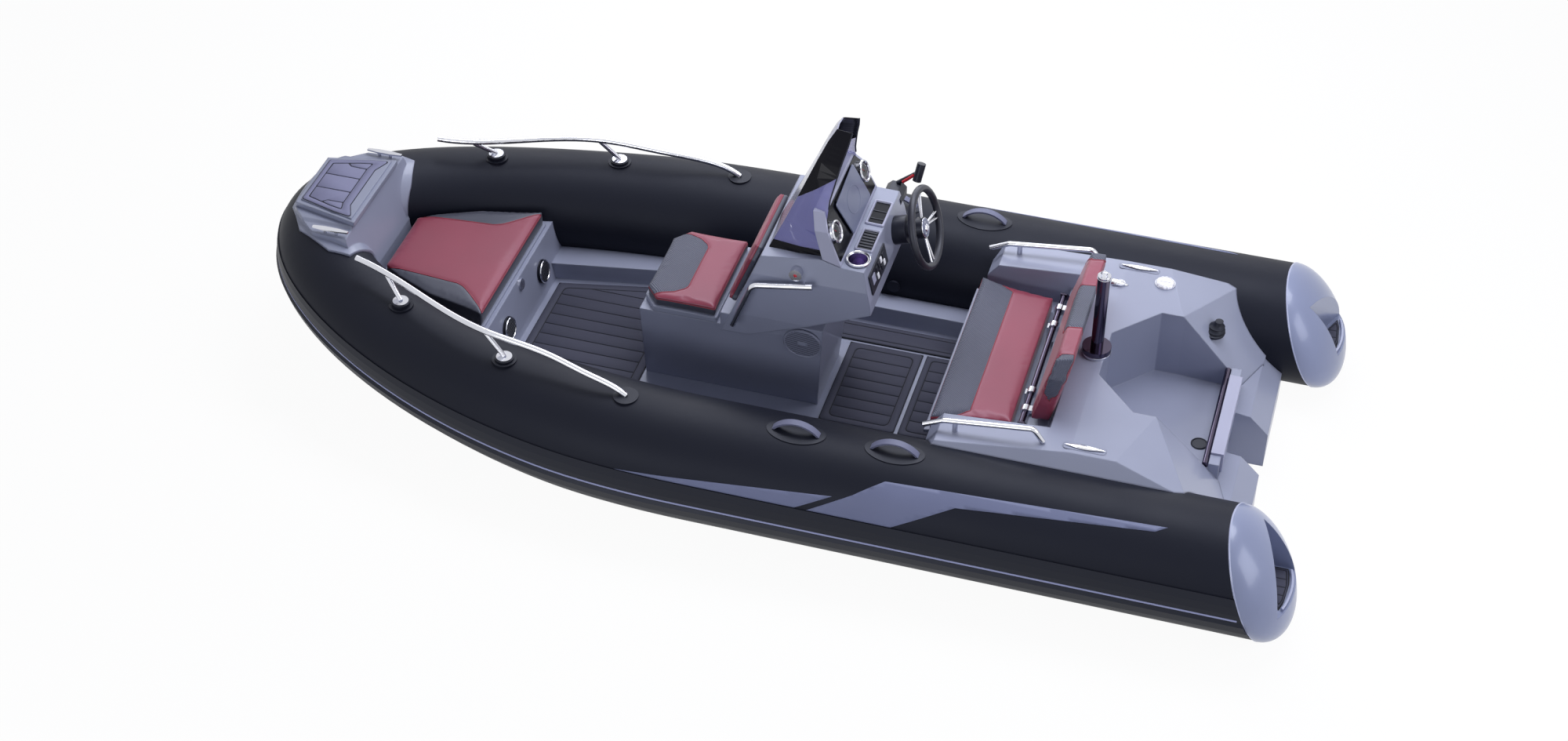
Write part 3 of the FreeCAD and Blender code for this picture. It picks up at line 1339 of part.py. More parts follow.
stern_rail_port = cut("stern_rail_cut", computed("stern_rail", stern_rail()), nodes["stern_module"])
node(pair("stern_rail_pair", stern_rail_port), "bench_handrails")
stern_cleat = box("stern_cleat", ("dim.stern_cleat_x - dim.stern_cleat_length / 2",
                                  "dim.stern_cleat_x + dim.stern_cleat_length / 2"),
                  ("dim.stern_rail_y - 17", "dim.stern_rail_y + 17"), ("dim.deck_height", "dim.deck_height + 6"))
node(pair("stern_cleat_pair", stern_cleat), "stern_cleats")
node(cylinder("filler_round", ("-1468", "-499", "dim.deck_height"), "dim.filler_radius", "5"), "fuel_filler")
node(cylinder("breather_round", ("-1293", "-447", "dim.deck_height"), "dim.vent_radius", "9"), "tank_breather")
mast_foot = cylinder("mast_foot", ("dim.mast_x", "0", "dim.deck_height"), "dim.mast_foot_radius", "34")
mast_pole = cylinder("mast_pole", ("dim.mast_x", "0", "dim.deck_height + 20"), "dim.mast_radius",
                     "dim.mast_height - dim.deck_height - 20")
node(fuse("mast_whole", mast_foot, mast_pole), "ski_mast")
boot_foot = cylinder("boot_foot", ("dim.boot_x", "dim.boot_y", "430"), "dim.boot_radius", "60")
node(cut("boot_cut", boot_foot, nodes["stern_module"]), "rigging_boot")


def check_and_write():
    doc.recompute()
    for piece in doc.Objects:
        if "Invalid" in piece.State or "Error" in piece.State:
            raise ValueError("%s did not recompute: %s" % (piece.Name, piece.State))
    for name, piece in nodes.items():
        if piece.Shape.isNull() or not piece.Shape.isValid():
            raise ValueError("%s has no valid shape" % name)
    os.makedirs("parts", exist_ok=True)
    for name, piece in nodes.items():
        piece.Shape.exportStep("parts/%s.step" % name)


check_and_write()
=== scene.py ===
import math
import bmesh
import bpy
import numpy as np
from mathutils import Matrix, Vector
from mathutils.bvhtree import BVHTree
from mathutils.kdtree import KDTree


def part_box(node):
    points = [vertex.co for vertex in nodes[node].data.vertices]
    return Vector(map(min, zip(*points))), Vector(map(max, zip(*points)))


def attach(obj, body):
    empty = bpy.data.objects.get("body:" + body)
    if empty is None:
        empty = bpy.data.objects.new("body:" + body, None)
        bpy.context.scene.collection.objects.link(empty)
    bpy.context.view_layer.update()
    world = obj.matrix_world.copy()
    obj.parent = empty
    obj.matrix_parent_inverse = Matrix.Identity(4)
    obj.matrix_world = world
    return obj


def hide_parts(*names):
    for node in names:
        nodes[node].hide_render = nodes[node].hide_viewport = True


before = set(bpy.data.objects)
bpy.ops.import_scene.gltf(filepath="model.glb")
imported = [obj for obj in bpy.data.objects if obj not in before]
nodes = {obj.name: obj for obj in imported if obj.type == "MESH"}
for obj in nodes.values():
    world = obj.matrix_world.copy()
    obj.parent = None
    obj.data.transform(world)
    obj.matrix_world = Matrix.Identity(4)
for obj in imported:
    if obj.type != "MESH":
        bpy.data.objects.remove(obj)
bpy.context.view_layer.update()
scene = bpy.context.scene
scene.view_settings.view_transform = "Standard"

# Camera. The photograph is taken from above the port quarter with a short telephoto lens, level
# with the horizon, so that the whole boat lies across the frame.
camera_data = bpy.data.cameras.new("camera")
camera_data.lens = 57.357
camera_data.sensor_width = 36
camera_data.sensor_fit = "HORIZONTAL"
camera_data.clip_end = 60


def in_scene(name, data):
    """An object of the scene with the given data."""
    thing = bpy.data.objects.new(name, data)
    scene.collection.objects.link(thing)
    return thing


camera = in_scene("camera", camera_data)
to_right = Vector((-0.9583, -0.2856, 0)).normalized()
to_front = Vector((0.2152, -0.7222, -0.6573)).normalized()
to_top = to_right.cross(to_front)
axes = Matrix((to_right, to_top, -to_front)).transposed()
camera.matrix_world = Matrix.Translation((-2.239, 7.544, 6.986)) @ axes.to_4x4()
scene.camera = camera


# Studio. The boat floats in a plain pale floor at its waterline, under a wide soft roof light
# and weaker side lights, with white behind it.
def soft_light(name, place, aim, size, power, colour):
    data = bpy.data.lights.new(name, "AREA")
    data.shape = "RECTANGLE"
    data.size, data.size_y = size
    data.energy = power
    data.color = colour
    lamp = in_scene(name, data)
    lamp.location = place
    lamp.rotation_euler = (Vector(aim) - Vector(place)).to_track_quat("-Z", "Y").to_euler()


soft_light("roof_light", (-0.6, -1.3, 4.2), (-0.1, 0, 0.3), (5.5, 1.8), 195, (0.97, 0.97, 1))
soft_light("far_light", (0.4, -4.2, 2.6), (0, 0, 0.4), (5, 1.2), 70, (0.9, 0.92, 1))
soft_light("quay_light", (1.4, 5.6, 2.2), (0, 0, 0.5), (4, 1.6), 75, (0.95, 0.96, 1))
soft_light("stern_light", (-4.6, 1.2, 2.4), (-1, 0, 0.4), (2.2, 2.2), 55, (0.93, 0.94, 1))


def white_to_the_eye(tree, lit, plain, share, output):
    """Mixes plain white into a lit shader where the camera, a mirror or a window looks straight at it."""
    white = tree.nodes.new(plain)
    white.inputs["Color"].default_value = (1, 1, 1, 1)
    path = tree.nodes.new("ShaderNodeLightPath")
    seen = path.outputs["Is Camera Ray"]
    for name in ("Is Glossy Ray", "Is Transmission Ray"):
        either = tree.nodes.new("ShaderNodeMath")
        either.operation = "MAXIMUM"
        tree.links.new(seen, either.inputs[0])
        tree.links.new(path.outputs[name], either.inputs[1])
        seen = either.outputs[0]
    amount = tree.nodes.new("ShaderNodeMath")
    amount.operation = "MULTIPLY"
    amount.inputs[1].default_value = share
    tree.links.new(seen, amount.inputs[0])
    mix = tree.nodes.new("ShaderNodeMixShader")
    for source, socket in zip((amount, lit, white), mix.inputs):
        tree.links.new(source.outputs[0], socket)
    tree.links.new(mix.outputs[0], tree.nodes[output].inputs["Surface"])


world = bpy.data.worlds.new("studio")
scene.world = world
world.use_nodes = True
sky = world.node_tree.nodes["Background"]
sky.inputs["Color"].default_value = (0.86, 0.89, 1, 1)
sky.inputs["Strength"].default_value = 0.2
white_to_the_eye(world.node_tree, sky, "ShaderNodeBackground", 1, "World Output")


def srgb(*paint):
    """A colour as a paint chart gives it, 0 to 255, in the renderer's scale."""
    return tuple(((c / 255 + 0.055) / 1.055) ** 2.4 if c > 10 else c / 255 / 12.92 for c in paint)


def blank_material(name):
    material = bpy.data.materials.new(name)
    material.use_nodes = True
    return material, material.node_tree, material.node_tree.nodes["Principled BSDF"]


FLOOR_REACH = 30
floor_paint, floor_tree, floor_matt = blank_material("floor_paint")
floor_matt.inputs["Base Color"].default_value = (*srgb(246, 247, 252), 1)
floor_matt.inputs["Roughness"].default_value = 0.9
white_to_the_eye(floor_tree, floor_matt, "ShaderNodeEmission", 0.95, "Material Output")
floor_corners = [(x * FLOOR_REACH, y * FLOOR_REACH, 0) for x, y in ((-1, -1), (1, -1), (1, 1), (-1, 1))]
floor_mesh = bpy.data.meshes.new("floor")
floor_mesh.from_pydata(floor_corners, [], [(0, 1, 2, 3)])
floor_mesh.materials.append(floor_paint)
in_scene("floor", floor_mesh)


# Hull and mouldings: light blue-grey gel coat over glass fibre, laid into polished moulds, so
# smooth with a faint wave and rounded corners, and a little duller in patches here and there.
def add_bump(tree, texture, scale, strength, depth):
    """A texture fixed to the piece, and the bump that it raises."""
    place = tree.nodes.new("ShaderNodeTexCoord")
    pattern = tree.nodes.new(texture)
    pattern.inputs["Scale"].default_value = scale
    tree.links.new(place.outputs["Object"], pattern.inputs["Vector"])
    bump = tree.nodes.new("ShaderNodeBump")
    bump.inputs["Strength"].default_value = strength
    bump.inputs["Distance"].default_value = depth
    tree.links.new(pattern.outputs["Fac"], bump.inputs["Height"])
    return pattern, bump


def finish(name, colour, rough, grain=0, grain_size=300, relief=0.0002, shade=0.05, metal=0, coat=0,
           sheen=0, round_edge=0, shine=0.5):
    """A material with a cloudy colour, an uneven roughness, a fine raised grain and soft corners."""
    material, tree, surface = blank_material(name)
    for socket, value in (("Metallic", metal), ("Coat Weight", coat), ("Coat Roughness", 0.12),
                          ("Sheen Weight", sheen), ("Specular IOR Level", shine),
                          ("Specular Tint", (1, 1, 1, 1) if metal else (0.8, 0.85, 1, 1))):
        surface.inputs[socket].default_value = value
    place = tree.nodes.new("ShaderNodeTexCoord")
    cloud = tree.nodes.new("ShaderNodeTexNoise")
    cloud.inputs["Scale"].default_value = 4
    cloud.inputs["Detail"].default_value = 5
    tree.links.new(place.outputs["Object"], cloud.inputs["Vector"])
    tint = tree.nodes.new("ShaderNodeValToRGB")
    for stop, position, change in zip(tint.color_ramp.elements, (0.3, 0.7), (1 - shade, 1 + shade)):
        stop.position = position
        stop.color = (*(min(1, c * change) for c in colour), 1)
    tree.links.new(cloud.outputs["Fac"], tint.inputs["Fac"])
    tree.links.new(tint.outputs["Color"], surface.inputs["Base Color"])
    spread = tree.nodes.new("ShaderNodeMapRange")
    spread.inputs["To Min"].default_value = rough * 0.85
    spread.inputs["To Max"].default_value = min(1, rough * 1.15)
    tree.links.new(cloud.outputs["Fac"], spread.inputs["Value"])
    tree.links.new(spread.outputs["Result"], surface.inputs["Roughness"])
    shape = None
    if round_edge:
        corner = tree.nodes.new("ShaderNodeBevel")
        corner.samples = 4
        corner.inputs["Radius"].default_value = round_edge
        shape = corner.outputs["Normal"]
    if grain:
        speck, raised = add_bump(tree, "ShaderNodeTexNoise", grain_size, grain, relief)
        speck.inputs["Detail"].default_value = 3
        if shape:
            tree.links.new(shape, raised.inputs["Normal"])
        shape = raised.outputs["Normal"]
    if shape:
        tree.links.new(shape, surface.inputs["Normal"])
    return material


def coat_nodes(material, *names):
    for name in names:
        data = nodes[name].data
        data.materials.clear()
        data.materials.append(material)


def add_piece(name, corners, faces, material, slot, body="boat", crease=35):
    """A mesh piece in the given material that rides on a body, smooth but for its sharp corners; the slot is
    not used.
    """
    data = bpy.data.meshes.new(name)
    data.from_pydata([tuple(corner) for corner in corners], [], faces)
    data.materials.append(material)
    data.shade_smooth()
    data.set_sharp_from_angle(angle=math.radians(crease))
    piece = in_scene(name, data)
    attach(piece, body)
    return piece


gel_coat = finish("gel_coat", srgb(138, 143, 165), 0.34, grain=0.1, grain_size=60, relief=0.0003,
                  shade=0.03, coat=0.3, round_edge=0.009)
coat_nodes(gel_coat, "hull", "deck_liner", "stern_module", "console_shell", "bow_step_locker",
           "bow_step_lid", "bow_step_pad", "bow_seat_lid", "console_seat_lid", "bench_lid")


# Tube collar: two coats of synthetic rubber on woven cloth, near black and satin, cut in panels
# and glued, with flat blue-grey stripes of the same cloth glued along each side.
tube_fabric = finish("tube_fabric", srgb(14, 16, 27), 0.52, grain=0.35, grain_size=1100, shade=0.06,
                     shine=0.2)
coat_nodes(tube_fabric, "tube_collar")
TUBE_HALF_WIDTH = 0.752
TUBE_HEIGHT = 0.256
CURVE_START = 0.15
BOW_REACH = 2.045
BOW_RISE = 0.2
skin_of_tube = BVHTree.FromObject(nodes["tube_collar"], bpy.context.evaluated_depsgraph_get())


def tube_axis(x):
    forward = max(0.0, (x - CURVE_START) / (BOW_REACH - CURVE_START))
    across = math.sqrt(max(0.0, 1 - forward ** 1.95))
    return Vector((x, across * TUBE_HALF_WIDTH, TUBE_HEIGHT + BOW_RISE * forward ** 2.5))


def on_skin(skin, place, way, turn, proud):
    """The point of a skin round the axis at a turn in degrees up from level, outboard, and its lift."""
    out = Vector((0, 0, 1)).cross(way).normalized()
    up = way.cross(out)
    ray = out * math.cos(math.radians(turn)) + up * math.sin(math.radians(turn))
    hit = skin.ray_cast(place + ray * 0.4, -ray)[0]
    return hit + ray * proud


def on_tube(x, turn, side, proud=0.0006):
    way = (tube_axis(x + 0.005) - tube_axis(x - 0.005)).normalized()
    spot = on_skin(skin_of_tube, tube_axis(x), way, turn, proud)
    spot.y *= side
    return spot


def cut_along(shape, point, normal, reach=0):
    """Cuts a mesh along a plane, through every face that the plane crosses."""
    bmesh.ops.bisect_plane(shape, geom=shape.verts[:] + shape.edges[:] + shape.faces[:], plane_co=point,
                           plane_no=normal, dist=reach)


def cut_fine(corners, step_u, step_v):
    """A flat outline cut into a grid, so that it can be bent over a curved skin."""
    sheet = bmesh.new()
    sheet.faces.new([sheet.verts.new((u, v, 0)) for u, v in corners])
    for axis, step in ((0, step_u), (1, step_v)):
        way = Vector([float(i == axis) for i in range(3)])
        values = [corner[axis] for corner in corners]
        line = math.ceil(min(values) / step) * step
        while line < max(values):
            cut_along(sheet, way * line, way)
            line += step
    bmesh.ops.triangulate(sheet, faces=sheet.faces[:])
    sheet.verts.index_update()
    flat = [tuple(vert.co) for vert in sheet.verts]
    faces = [tuple(vert.index for vert in face.verts) for face in sheet.faces]
    sheet.free()
    return flat, faces


stripe_cloth = finish("stripe_cloth", srgb(112, 118, 148), 0.5, grain=0.35, grain_size=1100, shine=0.3)
SIDES = ((1, "port"), (-1, "starboard"))
STRIPES = {  # corners as metres along the boat and degrees up round the tube
    "stripe_front": [(0.396, 18.6), (-0.323, 18.6), (-0.464, 35.8)],
    "stripe_main": [(-0.372, 18.6), (-0.702, 18.6), (-0.934, 47.4), (-1.678, 62.2), (-1.722, 68.2),
                    (-0.653, 58.1), (-0.6, 50), (-0.538, 40)],
}
for stripe_name, stripe_line in STRIPES.items():
    for side, label in SIDES:
        flat, faces = cut_fine(stripe_line, 0.03, 4)
        bent = [on_tube(u, v, side) for u, v, w in flat]
        stripe = add_piece(stripe_name + "_" + label, bent, faces, stripe_cloth, "tube_fabric")
        thick = stripe.modifiers.new("cloth_thickness", "SOLIDIFY")
        thick.thickness = 0.0012
        thick.offset = 0


# Rub strake: one length of extruded black rubber glued round the tube at its widest, from stern to
# stern, with a pale line let into the face of its fender. The valves are of the same rubber.
black_rubber = finish("black_rubber", srgb(13, 15, 26), 0.45, grain=0.3, grain_size=500, shine=0.3)
coat_nodes(black_rubber, "rub_strake", "tube_valves")
strake_line = finish("strake_line", srgb(150, 155, 192), 0.4, grain=0.2, grain_size=500, shade=0.04)
skin_of_strake = BVHTree.FromObject(nodes["rub_strake"], bpy.context.evaluated_depsgraph_get())
line_places = [Vector((x, TUBE_HALF_WIDTH, TUBE_HEIGHT)) for x in np.linspace(-2.03, 0.1, 12)]
for share in np.linspace(0, 1, 60):
    angle = share * math.pi / 2
    x = CURVE_START + math.sin(angle) ** (2 / 1.95) * (BOW_REACH - CURVE_START)
    place = tube_axis(x)
    place.y = math.cos(angle) * TUBE_HALF_WIDTH
    line_places.append(place)
line_places += [Vector((place.x, -place.y, place.z)) for place in line_places[-2::-1]]
LINE_SECTION = ((-5.2, -0.001), (-4.9, 0.0012), (-3.2, 0.0012), (-2.9, -0.001))
line_points = []
for i, place in enumerate(line_places):
    before = line_places[max(i - 1, 0)]
    after = line_places[min(i + 1, len(line_places) - 1)]
    for turn, proud in LINE_SECTION:
        line_points.append(on_skin(skin_of_strake, place, (after - before).normalized(), turn, proud))


def joined(rows, count, around=True, looped=False, first=0):
    """Faces between rows of equally many corners, closed around each row, and looped to the first row."""
    faces = []
    for row in range(rows if looped else rows - 1):
        low = first + row * count
        high = first + (row + 1) % rows * count
        for k in range(count if around else count - 1):
            after = (k + 1) % count
            faces.append((low + k, low + after, high + after, high + k))
    return faces


add_piece("strake_pale_line", line_points, joined(len(line_places), len(LINE_SECTION), around=False),
          strake_line, "strake_rubber")


# Tail cones: vacuum-formed blue-grey plastic caps, each with a bright rim where it meets the
# tube, a foam-covered step in its scoop and a bar along the step's aft edge.
cone_plastic = finish("cone_plastic", srgb(128, 136, 166), 0.3, grain=0.12, grain_size=200, relief=0.0003,
                      shade=0.04, coat=0.35, round_edge=0.004)
coat_nodes(cone_plastic, "tail_cone_port", "tail_cone_starboard")


def sweep(line, radius, sides=10, closed=False):
    """Corners and faces of a round bar along a line of points."""
    corners = []
    count = len(line)
    for i, place in enumerate(line):
        before = line[i - 1] if closed else line[max(i - 1, 0)]
        after = line[(i + 1) % count] if closed else line[min(i + 1, count - 1)]
        way = (after - before).normalized()
        out = way.cross(Vector((0.13, 0.17, 1))).normalized()
        up = out.cross(way)
        for k in range(sides):
            turn = 2 * math.pi * k / sides
            corners.append(place + (out * math.cos(turn) + up * math.sin(turn)) * radius)
    faces = joined(count, sides, looped=closed)
    if not closed:
        faces.append(tuple(range(sides))[::-1])
        faces.append(tuple(range(len(corners) - sides, len(corners))))
    return corners, faces


def smooth_line(points, steps=8):
    """A line of points rounded through its own corners."""
    line = []
    ends = [points[0]] + list(points) + [points[-1]]
    for i in range(1, len(ends) - 2):
        a, b, c, d = (Vector(ends[i + k]) for k in (-1, 0, 1, 2))
        for k in range(steps):
            t = k / steps
            line.append(0.5 * (2 * b + (c - a) * t + (2 * a - 5 * b + 4 * c - d) * t * t
                               + (3 * b - a - 3 * c + d) * t ** 3))
    line.append(Vector(points[-1]))
    return line


rim_light = finish("rim_light", srgb(168, 174, 202), 0.28, grain=0.1, grain_size=200, shade=0.03, coat=0.4)
RIM_RADIUS = 0.2475
RIM_TOP = (-1.942, 0.504)
RIM_RAKE = 0.2 / 0.496
STEP_BAR = [(-2.186, 0.66), (-2.196, 0.70), (-2.2, 0.75), (-2.197, 0.80), (-2.189, 0.845), (-2.18, 0.874)]
STEP_BAR_HEIGHT = 0.219
for side, label in SIDES:
    rim = []
    for i in range(96):
        turn = 2 * math.pi * i / 96
        z = TUBE_HEIGHT + RIM_RADIUS * math.sin(turn)
        x = RIM_TOP[0] - RIM_RAKE * (RIM_TOP[1] - z)
        rim.append(Vector((x, side * (TUBE_HALF_WIDTH + RIM_RADIUS * math.cos(turn)), z)))
    add_piece("cone_rim_" + label, *sweep(rim, 0.0045, 8, True), rim_light, "cone_plastic")
    arc = smooth_line([(x, side * y, STEP_BAR_HEIGHT) for x, y in STEP_BAR])
    add_piece("cone_step_bar_" + label, *sweep(arc, 0.0055), rim_light, "cone_plastic")


# Deck foam: sheets of closed-cell foam bonded to the floor and steps, cut through by a router so
# that dark grooves show between the planks and round the border, with a fine brushed face.
deck_groove = finish("deck_groove", srgb(18, 18, 23), 0.8, grain=0.4, grain_size=700, relief=0.0003)
deck_foam = finish("deck_foam", srgb(58, 59, 74), 0.78, grain=0.7, grain_size=900, relief=0.0005,
                   shade=0.08)
coat_nodes(deck_groove, "floor_pads", "cone_pads")
FOAM_EDGE = 0.0007


def oblong(left, low, right, high):
    """A flat outline with four square corners."""
    return [Vector(corner) for corner in ((left, low), (right, low), (right, high), (left, high))]


def rounded(corners, radius, steps=5):
    """A flat outline with its corners rounded."""
    line = []
    for i, corner in enumerate(corners):
        here = Vector(corner)
        before = Vector(corners[i - 1]) - here
        after = Vector(corners[(i + 1) % len(corners)]) - here
        cut = min(radius / math.tan(before.angle(after) / 2), before.length * 0.45, after.length * 0.45)
        start = here + before.normalized() * cut
        end = here + after.normalized() * cut
        for k in range(steps + 1):
            t = k / steps
            line.append(start * (1 - t) ** 2 + here * 2 * t * (1 - t) + end * t ** 2)
    return line


def shrunk(corners, margin):
    """A flat outline moved inwards; its corners run anticlockwise."""
    line = []
    for i, corner in enumerate(corners):
        here = Vector(corner)
        before = (here - Vector(corners[i - 1])).normalized()
        after = (Vector(corners[(i + 1) % len(corners)]) - here).normalized()
        inward = Vector((-before.y - after.y, before.x + after.x))
        line.append(here + inward * (margin / max(0.3, 1 + before.dot(after))))
    return line


def add_rings(corners, faces, rings, closed):
    """Joins outlines of equally many points into a skin; a closed one returns to its first ring."""
    first = len(corners)
    count = len(rings[0][0])
    for line, height in rings:
        corners += [Vector((point.x, point.y, height)) for point in line]
    faces += joined(len(rings), count, looped=closed, first=first)
    if not closed:
        faces.append(tuple(range(first, first + count))[::-1])
        faces.append(tuple(range(first + (len(rings) - 1) * count, first + len(rings) * count)))


def add_tile(corners, faces, line, low, high, edge=FOAM_EDGE):
    """A flat tile with softened upper edges."""
    add_rings(corners, faces, [(line, low), (line, high - edge), (shrunk(line, edge), high)], False)


def add_border(corners, faces, outer, inner, low, high):
    """A flat frame between two outlines, with softened upper edges."""
    rings = [(outer, low), (outer, high - FOAM_EDGE), (shrunk(outer, FOAM_EDGE), high),
             (shrunk(inner, -FOAM_EDGE), high), (inner, high - FOAM_EDGE), (inner, low)]
    add_rings(corners, faces, rings, True)


def strip_of(line, low, high):
    """The part of a rounded outline between two distances from the middle."""
    for limit, sign in ((low, 1), (high, -1)):
        kept = []
        for i, end in enumerate(line):
            start = line[i - 1]
            start_in = sign * (start.y - limit) >= 0
            end_in = sign * (end.y - limit) >= 0
            if start_in != end_in:
                kept.append(start.lerp(end, (limit - start.y) / (end.y - start.y)))
            if end_in:
                kept.append(end)
        line = kept
    clean = []
    for point in line:
        if not clean or (point - clean[-1]).length > 0.0008:
            clean.append(point)
    if clean and (clean[0] - clean[-1]).length < 0.0008:
        clean.pop()
    return clean


def foam_sheet(name, outline, height, border, radius, plank, thick=0.002, groove=0.0045):
    """A frame of foam with planks along the boat inside it; the outer planks end at the outline."""
    corners = []
    faces = []
    sunk = height - 0.0005
    outer = rounded(outline, radius * 0.6)
    add_border(corners, faces, outer, rounded(shrunk(outline, border), radius), sunk, height + thick)
    inner = rounded(shrunk(outline, border + groove), radius)
    low = min(point.y for point in inner)
    high = max(point.y for point in inner)
    count = max(1, round((high - low) / plank))
    for i in range(count):
        start = low + (high - low) * i / count + (groove / 2 if i else -1)
        end = low + (high - low) * (i + 1) / count - (groove / 2 if i < count - 1 else -1)
        line = strip_of(inner, start, end)
        if len(line) > 3:
            add_tile(corners, faces, line, sunk, height + thick)
    add_piece(name, corners, faces, deck_foam, "deck_foam", crease=50)


FLOOR_SHEETS = {  # outline, border, corner radius and plank width
    "foam_bow_floor": ([(0.571, -0.384), (1.107, -0.27), (1.107, 0.27), (0.571, 0.384)], 0.03, 0.03, 0.064),
    "foam_port_floor": (oblong(-0.704, 0.273, 0.549, 0.384), 0.018, 0.02, 0.09),
    "foam_starboard_floor": (oblong(-0.704, -0.384, 0.549, -0.273), 0.018, 0.02, 0.09),
    "foam_hatch": (oblong(-0.525, -0.251, -0.214, 0.251), 0.028, 0.03, 0.062),
    "foam_aft_floor": (oblong(-0.704, -0.251, -0.547, 0.251), 0.022, 0.02, 0.062),
}
FLOOR_PAD_TOP = 0.126
for name, (outline, border, radius, plank) in FLOOR_SHEETS.items():
    foam_sheet(name, outline, FLOOR_PAD_TOP, border, radius, plank)
CONE_TREAD = [(-2.071, 0.66), (-2.166, 0.868), (-2.18, 0.822), (-2.185, 0.74), (-2.174, 0.66)]
CONE_PAD_TOP = 0.214
for side, label in SIDES:
    tread = [(x, side * y) for x, y in CONE_TREAD][::side]
    foam_sheet("foam_cone_" + label, tread, CONE_PAD_TOP, 0.004, 0.006, 0.04, thick=0.0018, groove=0.004)


# Bow step tread: a lighter sheet of the same foam with horned aft corners, glued to the moulded lid
# of the step locker. It is one frame and five planks on a dark bed that shows in the grooves.
step_foam = finish("step_foam", srgb(122, 123, 152), 0.75, grain=0.7, grain_size=900, relief=0.0005,
                   shade=0.06)
STEP_EDGE = [(1.815, -0.203), (1.9, -0.188), (2.066, -0.142), (2.066, 0.142), (1.9, 0.188), (1.815, 0.203),
             (1.85, 0.126), (1.85, -0.126)]
STEP_INSIDE = [(1.874, -0.167), (1.93, -0.156), (2.044, -0.122), (2.044, 0.122), (1.93, 0.156),
               (1.874, 0.167), (1.885, 0.124), (1.885, -0.124)]
STEP_SIDE_PLANKS = [
    [(1.889, 0.05), (2.04, 0.05), (2.038, 0.118), (1.978, 0.136), (1.958, 0.1195), (1.889, 0.1185)],
    [(1.889, 0.1235), (1.957, 0.1245), (1.971, 0.138), (1.93, 0.1505), (1.88, 0.1605)],
]
step_planks = [oblong(1.889, -0.045, 2.04, 0.045)]
for side in (-1, 1):
    step_planks += [[(x, side * y) for x, y in plank][::side] for plank in STEP_SIDE_PLANKS]
STEP_SUNK = 0.678
STEP_TOP = 0.6808


def add_closed(name, corners, faces, material, slot, body="boat"):
    """A closed mesh piece with every face turned outwards."""
    piece = add_piece(name, corners, faces, material, slot, body)
    shape = bmesh.new()
    shape.from_mesh(piece.data)
    bmesh.ops.recalc_face_normals(shape, faces=shape.faces[:])
    shape.to_mesh(piece.data)
    shape.free()
    return piece


def plate(name, outline, low, high, place, material, slot, corner=0, edge=0.0008, body="boat"):
    """A flat plate with softened upper edges, set where place() puts its outline and height."""
    line = rounded(outline, corner) if corner else [Vector(point) for point in outline]
    corners = []
    faces = []
    add_tile(corners, faces, line, low, high, edge)
    return add_closed(name, [place(*point) for point in corners], faces, material, slot, body)


plate("step_groove", STEP_EDGE, 0.6775, 0.6788, lambda *spot: Vector(spot), deck_groove, "step_foam",
      corner=0.012, edge=0.0004, body="step_lid")
corners = []
faces = []
add_border(corners, faces, rounded(shrunk(STEP_EDGE, 0.0035), 0.01), rounded(STEP_INSIDE, 0.008), STEP_SUNK,
           STEP_TOP)
for line in step_planks:
    add_tile(corners, faces, rounded(line, 0.005), STEP_SUNK, STEP_TOP)
add_piece("foam_bow_step", corners, faces, step_foam, "step_foam", "step_lid", 50)


# Cushions: foam cut to shape under marine vinyl, red with near-black bands and ribbed panels,
# swollen a little under tight covers, with welted seams between the panels.
red_vinyl = finish("red_vinyl", srgb(130, 46, 67), 0.38, grain=0.5, grain_size=500, relief=0.0004,
                   shade=0.06, sheen=0.15)
dark_vinyl = finish("dark_vinyl", srgb(56, 58, 72), 0.42, grain=0.5, grain_size=500, relief=0.0004,
                    shade=0.06, sheen=0.1)
ribbed_vinyl = finish("ribbed_vinyl", srgb(70, 73, 90), 0.45, shade=0.06, sheen=0.1)
rib_tree = ribbed_vinyl.node_tree
rib_wave, rib_bump = add_bump(rib_tree, "ShaderNodeTexWave", 70, 0.9, 0.0015)
rib_wave.bands_direction = "DIAGONAL"
rib_tree.links.new(rib_bump.outputs["Normal"], rib_tree.nodes["Principled BSDF"].inputs["Normal"])
welt_red = finish("welt_red", srgb(140, 40, 52), 0.4, grain=0.3, grain_size=700)
COVERS = {"red": red_vinyl, "dark": dark_vinyl, "ribbed": ribbed_vinyl}
VOXEL = 0.007
START_INSET = 0.006
SWELL = 0.009
SWELL_FRAMES = 20
CLEARANCE = 0.0006
FLAT_DEPTH = 0.0066  # what lies lower than this over the seat is pressed flat
RISE_DEPTH = 0.009
RISE_SLOPE = 3
SEAM_DEPTH = 0.0028
SEAM_WIDTH = 0.008
SEAM_REACH = 0.025
WELT_RADIUS = 0.0019


def between(value, table):
    """Reads a table of (value, result) rows, straight between its rows."""
    return float(np.interp(value, [row[0] for row in table], [row[1] for row in table]))


BOW_BAND = [(1.186, 0.356), (1.29, 0.255), (1.315, 0.233), (1.335, 0.218), (1.364, 0.206), (1.727, 0.177)]
SEAT_BAND = [(0.373, 0.13), (0.382, 0.15), (0.418, 0.18), (0.545, 0.225)]
BENCH_BAND = [(-0.865, 0.381), (-0.804, 0.43), (-0.706, 0.459)]
PAD_FRONT = Vector((0.928, 0, 0.3723)).normalized()
PAD_SEAM = Vector((0.182, 0, 0.636)) - PAD_FRONT * 0.012
PAD_BACK = np.array((0.149, 0, 0.624))


def bow_cover(p):
    if p.z < 0.42:
        return "dark"
    return "dark" if abs(p.y) > between(p.x, BOW_BAND) else "red"


def seat_cover(p):
    if p.z < 0.575:
        return "dark"
    return "ribbed" if p.x > 0.373 and abs(p.y) < between(p.x, SEAT_BAND) else "red"


def bench_cover(p):
    return "ribbed" if p.z > 0.436 and p.x > -0.865 and abs(p.y) < between(p.x, BENCH_BAND) else "red"


